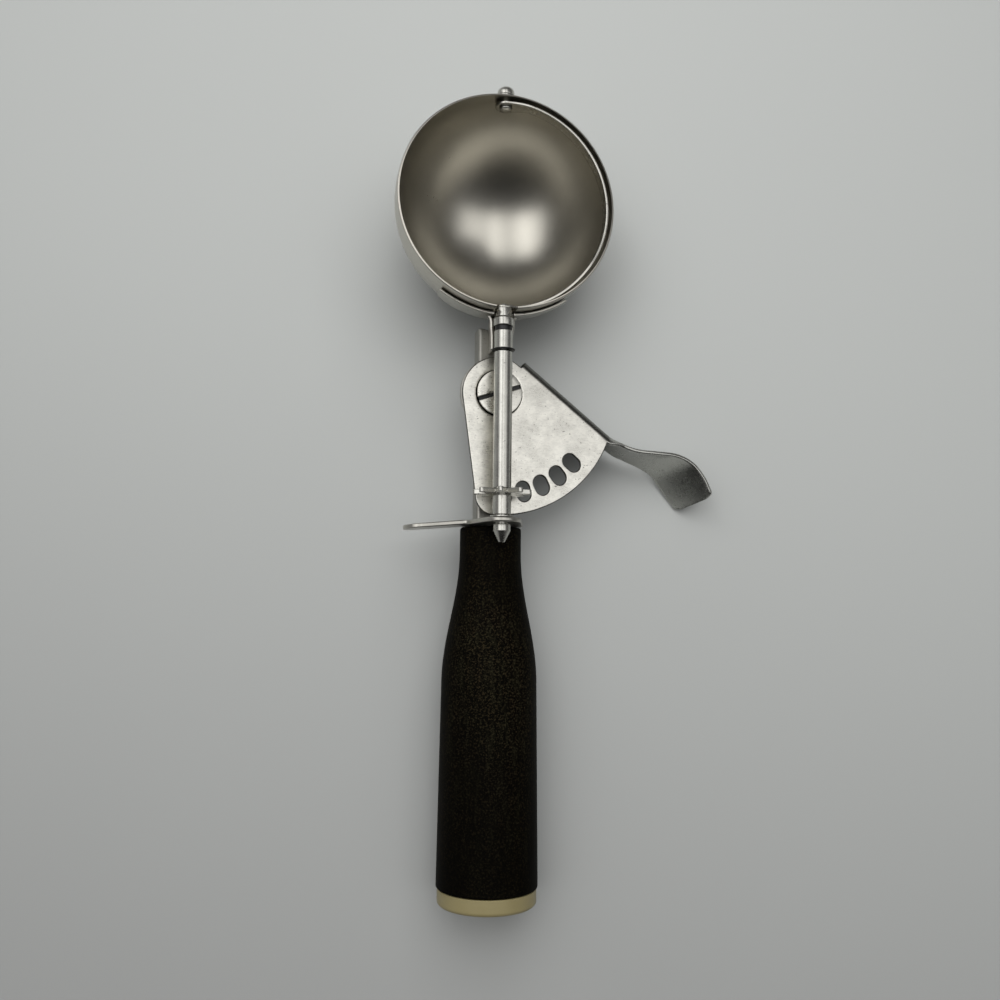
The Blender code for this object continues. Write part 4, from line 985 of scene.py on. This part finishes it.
# %% The saddle that carries the bowl
SADDLE_SHEET = 0.9
SADDLE_EDGE = 0.25
TROUGH_MIDDLE = 4.15
FLARE = 2.6
TROUGH_LIP = -1.9
TROUGH_CUT = -2.4
CUT_RUN = (175.4, 179.4)
ARM_TOP = 0.6
ARM_REACH = 20.4
ARM_DEPTH = 9.4
saddle_low = span("bowl_saddle")[0]
sphere = BOWL_RADIUS + SEAT_GAP + SADDLE_SHEET / 2
flared = TROUGH_MIDDLE + FLARE
face = BOWL_CENTRE[1] - sqrt(sphere ** 2 - flared ** 2)
across = np.linspace(-1, 1, 121)
tube = np.linspace(saddle_low, face - FLARE, 24)
bend = np.linspace(0, QUARTER, 9)[1:]
radius = TROUGH_MIDDLE + FLARE * np.concatenate([np.zeros(len(tube)), 1 - np.cos(bend)])[:, None]
y = np.concatenate([tube, face - FLARE + FLARE * np.sin(bend)])[:, None]
lip = TROUGH_LIP + (ARM_TOP - TROUGH_LIP) * smoothstep(0.4 * FLARE, FLARE, radius - TROUGH_MIDDLE)
lip += (TROUGH_CUT - lip) * (1 - smoothstep(*CUT_RUN, y))
t = across * (QUARTER + np.arcsin(lip / radius)) - QUARTER
trough = together(radius * np.cos(t), y, radius * np.sin(t))
t = across * QUARTER - QUARTER
limit = (np.abs(np.cos(t) / ARM_REACH) ** 5 + np.abs(np.sin(t) / ARM_DEPTH) ** 5) ** -0.2
r = flared + (limit - flared) * np.linspace(0, 1, 40)[1:, None]
t = across * (QUARTER + np.arcsin(ARM_TOP / r)) - QUARTER
x, z = r * np.cos(t), r * np.sin(t)
arms = together(x, BOWL_CENTRE[1] - np.sqrt(sphere ** 2 - x ** 2 - np.minimum(z, 0) ** 2), z)
points = np.concatenate([trough, arms], 0)
saddle = add_piece("saddle_yoke", "bowl_saddle", points, grid(points), FRAME_STEEL, place=SHAFT_AT)
press(saddle, SADDLE_SHEET, SADDLE_EDGE)

# %% [markdown]
# Both arms' sheet goes on inwards over the flare, up to a round hole for the hub's neck. These
# cheeks are polar patches about the shaft's axis, on a sphere a hair larger than the arms'.
# The keel is a tongue that stands on the stem behind the trough: a rounded block, carried
# upwards, whose two ends close in its middle.

# %% The saddle's cheeks and keel
CHEEK_LIFT = 0.02
CHEEK_LOW = radians(-70)
NECK_HOLE = 3.2
KEEL_HALF = 2.0
r = np.linspace(NECK_HOLE, flared - 0.1, 12)[:, None]
t = CHEEK_LOW + (np.arcsin(ARM_TOP / r) - CHEEK_LOW) * np.linspace(0, 1, 40)
y = BOWL_CENTRE[1] - np.sqrt((sphere + CHEEK_LIFT) ** 2 - r ** 2)
side = np.array([-1, 1])[:, None, None]
points = together(side * r * np.cos(t), y, r * np.sin(t))
faces = np.vstack([grid(points[0]), grid(points[1]) + t.size])
cheeks = add_piece("saddle_cheeks", "bowl_saddle", points, faces, FRAME_STEEL, place=SHAFT_AT)
press(cheeks, SADDLE_SHEET, SADDLE_EDGE)

start, end = saddle_low + 1.2, BOWL_CENTRE[1] - BOWL_RADIUS + 0.4
outline = rounded([(-KEEL_HALF, start), (KEEL_HALF, start), (KEEL_HALF, end), (-KEEL_HALF, end)], 0.5)
bottom, top = span("frame_stem", 2)[1] + SEAT_GAP, SHAFT_AT[2] - TROUGH_MIDDLE + 0.2
level = np.array([bottom, bottom, top, top])[:, None]
full = np.array([False, True, True, False])[:, None]
points = together(np.where(full, outline[:, 0], 0), np.where(full, outline[:, 1], (start + end) / 2), level)
faces = grid(points, wrap_columns=True)
even_normals(add_piece("saddle_keel", "bowl_saddle", points, faces, FRAME_STEEL))

# %% [markdown]
# ## Bolster and finger rest
# The plate that closes the top of the grip. A long tab on its left is the rest for a finger,
# bent a few degrees towards the butt. The outline is filled flat and then bent.

# %% The bolster plate
BOLSTER_SHEET = 1.4
BOLSTER_EDGE = 0.35
BOLSTER_RADIUS = 10.3
LOBE_RADIUS = 6.0
REST_HALF = 5.5
REST_LEVEL = 1.0
REST_BEND = tan(radians(5.5))
REST_ROOT = BOLSTER_RADIUS - 0.9
SHAFT_HOLE = (0, SHAFT_AT[2])
low, high = corners("bolster_plate")
reach = low[0] + REST_HALF
rest_top = REST_LEVEL + REST_HALF
lean = asin((BOLSTER_RADIUS - LOBE_RADIUS) / SHAFT_AT[2])
foot = asin((REST_LEVEL - REST_HALF) / BOLSTER_RADIUS)
round_side = circle_arc(BOLSTER_RADIUS, pi - foot, TURN + lean, 44)
lobe = circle_arc(LOBE_RADIUS, lean, pi - lean, 32, SHAFT_HOLE)
shoulder = (-(BOLSTER_RADIUS - rest_top * sin(lean)) / cos(lean), rest_top)
shoulder_arc = rounded([lobe[-1], shoulder, (reach, rest_top)], [0, 2.0, 0], closed=False, steps=9)[1:-1]
tip = circle_arc(REST_HALF, pi / 2, pi * 3 / 2, 28, (reach, REST_LEVEL))
x, z = np.linspace(reach + 1, -REST_ROOT + 3, 16), np.linspace(REST_LEVEL - 5, REST_LEVEL + 5, 9)
outline = np.vstack([round_side, lobe, shoulder_arc, tip])
inner = together(x[:, None], z, 0)[..., :2].reshape(-1, 2)
flat, faces = fill(outline, [circle(CORE_BORE, 32, SHAFT_HOLE)], [inner])
out = np.maximum(-REST_ROOT - flat[:, 0], 0)
drop = REST_BEND * out * smoothstep(0, 2.0, out)
points = together(flat[:, 0], high[1] - BOLSTER_SHEET / 2 - drop, flat[:, 1])
bolster = add_piece("bolster_and_rest", "bolster_plate", points, faces, FRAME_STEEL)
press(bolster, BOLSTER_SHEET, BOLSTER_EDGE)

# %% [markdown]
# ## Grip, cap and the hidden tang
# The grip is moulded in one piece round the tang. Its radius falls evenly from the butt, then
# along half a cosine to the neck. The cap is a shallow cup, whose spigot sits in the
# counterbore that also holds the nut of the tang, a rod riveted in the bolster.

# %% The grip and what it holds
GRIP_AT = (0, 0, 0)
BUTT_RADIUS = 15.8
BODY_RADIUS = 15.05
NECK_RADIUS = 9.8
SWELL_START = 67.0
SWELL_END = 108.0
TANG_BORE = 3.3
SPIGOT = 9.4
COUNTERBORE = 9.8
CAP_FACE = 5.0
low, high, _ = span("grip")
y = np.concatenate([[low], np.linspace(low + 0.9, SWELL_END, 90)])
taper = BUTT_RADIUS + (BODY_RADIUS - BUTT_RADIUS) * np.clip((y - low) / (SWELL_START - low), 0, 1)
share = np.clip((y - SWELL_START) / (SWELL_END - SWELL_START), 0, 1)
radius = taper + (NECK_RADIUS - BODY_RADIUS) * (1 - np.cos(pi * share)) / 2
side = np.stack([radius, y], -1)[::-1]
hole, deep = SPIGOT + SEAT_GAP, low + COUNTERBORE
profile = [(TANG_BORE, high), (NECK_RADIUS, high), *side[:-1], (BUTT_RADIUS, low), (hole, low), (hole, deep),
           (TANG_BORE, deep)]
edges = [0.2, 0.9, *[0] * (len(side) - 1), 0.5, 0.2, 0, 0]
turned_piece("moulded_grip", "grip", profile, edges, GRIP_RESIN, place=GRIP_AT, ring=True, slot="grip_brown")

_, high, radius = span("butt_cap")
radius -= 0.2
inner = SPIGOT - 1.5
profile = [(0, CAP_FACE), (inner, CAP_FACE), (inner, high), (SPIGOT, high), (SPIGOT, CAP_FACE),
           (radius, CAP_FACE), (radius, 0), (0, 0)]
turned_piece("ivory_cap", "butt_cap", profile, [0, 0, 0.2, 0.2, 0, 0.25, 1.3, 0], CAP_IVORY, place=GRIP_AT,
             slot="cap_cream", steps=8)

low, high, radius = span("tang_rod")
profile = [(0, high), (radius, high), (radius, low), (0, low)]
turned_piece("tang", "tang_rod", profile, [0, 0.15, 0.4, 0], place=GRIP_AT)
tube_piece("tang_seat", "tang_washer", *span("tang_washer"), TANG_BORE, 0.2, place=GRIP_AT)
nut_piece("tang_hex_nut", "tang_nut", 10.0, TANG_BORE, QUARTER, 1, GRIP_AT)

# %% [markdown]
# ## Floor
# The scoop lies on its back: the bowl, the butt's rim and the thumb pad's corner touch the
# table. Each contact is the point of its round form furthest against the plane's normal, and
# the normal is the cross product of the lines between the contacts, so a few rounds of
# correction find it. The table is a pale matte board with painted shade: its colour darkens
# towards the butt's end and a little towards the left, standing in for light that falls off there.

# %% The table top
PAD_CORNER = PIVOT + np.array([65.4, -33.1, STRIP_LOW - 0.8 - 0.3])
CAP_RADIUS = 15.6
TABLE_HALF = 6000
TABLE_GAP = 0.05
BUTT_RIM = 3.0
UP = np.array([0.0, 0.0, 1.0])
for _ in range(20):
    bowl = BOWL_CENTRE - BOWL_RADIUS * UP
    side = UP - np.array([0, UP[1], 0])
    butt = np.array([0, BUTT_RIM, 0]) - CAP_RADIUS * side / norm(side)
    UP = np.cross(bowl - butt, PAD_CORNER - butt)
    UP *= np.sign(UP[2]) / norm(UP)
LEVEL = UP @ bowl
side = np.cross([0, 1, 0], UP)
side /= norm(side)
middle = np.array([0, 130, 0])
middle = middle + UP * (LEVEL - UP @ middle - TABLE_GAP)
s, t = np.meshgrid([-TABLE_HALF, TABLE_HALF], [-TABLE_HALF, TABLE_HALF], indexing="ij")
points = middle + s[..., None] * side + t[..., None] * np.cross(UP, side)
floor = put("table_top", make_mesh("table_top", points, grid(points)))

board, nodes = new_material("pale_table_painted_falloff")
cloud = nodes.noise(14.0, 3.0, 0.5)
place = nodes.object_place()
# Painted shade: the board's colour darkens towards the butt's end (-Y) and a little towards -X, standing in
# for light that falls off there.
across = nodes.coordinate("Y", place) + 0.25 * nodes.coordinate("X", place)
far = (across + 0.02 * (cloud - 0.5)).between(-0.16, 0.22)
tone = nodes.mix(far, (0.318, 0.321, 0.315), (0.421, 0.432, 0.420))
paint(nodes, {"Roughness": 0.7, "Specular IOR Level": 0.2}, {"Base Color": tone})
floor.data.materials.append(board)
print("the table's normal is", UP.round(3), "at", round(float(LEVEL), 2), "mm")

# %% [markdown]
# ## Light
# A plain soft sky: a broad bright panel overhead with two brighter and two dimmer bars in it,
# dim sides with a paler foot, and the shade of a person at the butt's end. Steel shows little
# but its surroundings, so this shape of light is most of how the metal looks. One soft lamp
# above the bowl's end lights the matte pieces and the table only.

# %% The sky
PANEL_LIGHT = 1.15
world = bpy.data.worlds.new("soft_room")
world.use_nodes = True
bpy.context.scene.world = world
nodes = Nodes(world.node_tree)
way = nodes.node("ShaderNodeTexCoord", {}, output="Generated")


def toward(direction):
    """The cosine of the angle between the line of sight and a direction."""
    return nodes.vector("DOT_PRODUCT", {0: way, 1: tuple(Vector(direction).normalized())}, output="Value")


def bar(place, half):
    """1 where the direction's x is at the place, down to 0 at a distance of twice the half width."""
    off = right - place
    return 1 - off.calc("ABSOLUTE", off).between(0.0, 2 * half)


right, ahead, up = toward((1, 0, 0)), toward((0, 1, 0)), toward((0, 0, 1))
across = right.between(-0.93, -0.76) * (1 - right.between(0.43, 0.78))
along = ahead.between(-0.36, -0.10) * (1 - (ahead + 0.3 * right.between(-0.1, 0.3)).between(0.46, 0.70))
panel = across * along * up.between(0.0, 0.2)
brighter = 0.6 * bar(-0.05, 0.08) + 0.7 * bar(-0.58, 0.12)
dimmer = 0.3 * bar(-0.28, 0.1) + 0.25 * bar(0.15, 0.05)
person = toward((-0.15, -1.0, 0.62)).between(0.66, 0.88)
sides = (0.14 + 0.22 * (1 - up.between(0.06, 0.3))) * (1 - 0.8 * person)
light = sides + PANEL_LIGHT * panel * (1.0 + brighter - dimmer)
background = world.node_tree.nodes["Background"]
background.inputs["Color"].default_value = (1.0, 1.0, 1.0, 1)
world.node_tree.links.new(light.socket, background.inputs["Strength"])
print("the sky has", len(world.node_tree.nodes), "nodes")

# %% The lamp, aimed at the middle of the scoop
lamp = put("soft_lamp", bpy.data.lights.new("soft_lamp", "AREA"))
lamp.data.shape = "SQUARE"
lamp.data.size = 0.5
lamp.data.energy = 2.2
lamp.visible_glossy = False
lamp.location = Vector((-0.07, 0.40, 0.44))
lamp.rotation_euler = (Vector((0, 0.17, 0)) - lamp.location).to_track_quat("-Z", "Y").to_euler()
print("lights:", len(bpy.data.lights))

# %% [markdown]
# ## Camera and last lines
# The camera stands above the bowl's left, a hand's breadth over 300 mm away, and looks down
# past the pivot.

# %% Camera
camera = put("camera", bpy.data.cameras.new("camera"))
camera.data.lens = 36
camera.data.sensor_width = 36
camera.location = (-0.07026, 0.08976, 0.31296)
camera.rotation_euler = [radians(a) for a in (6.2009, -13.2424, 0.6004)]
bpy.context.scene.camera = camera
bpy.context.scene.view_settings.view_transform = "Standard"
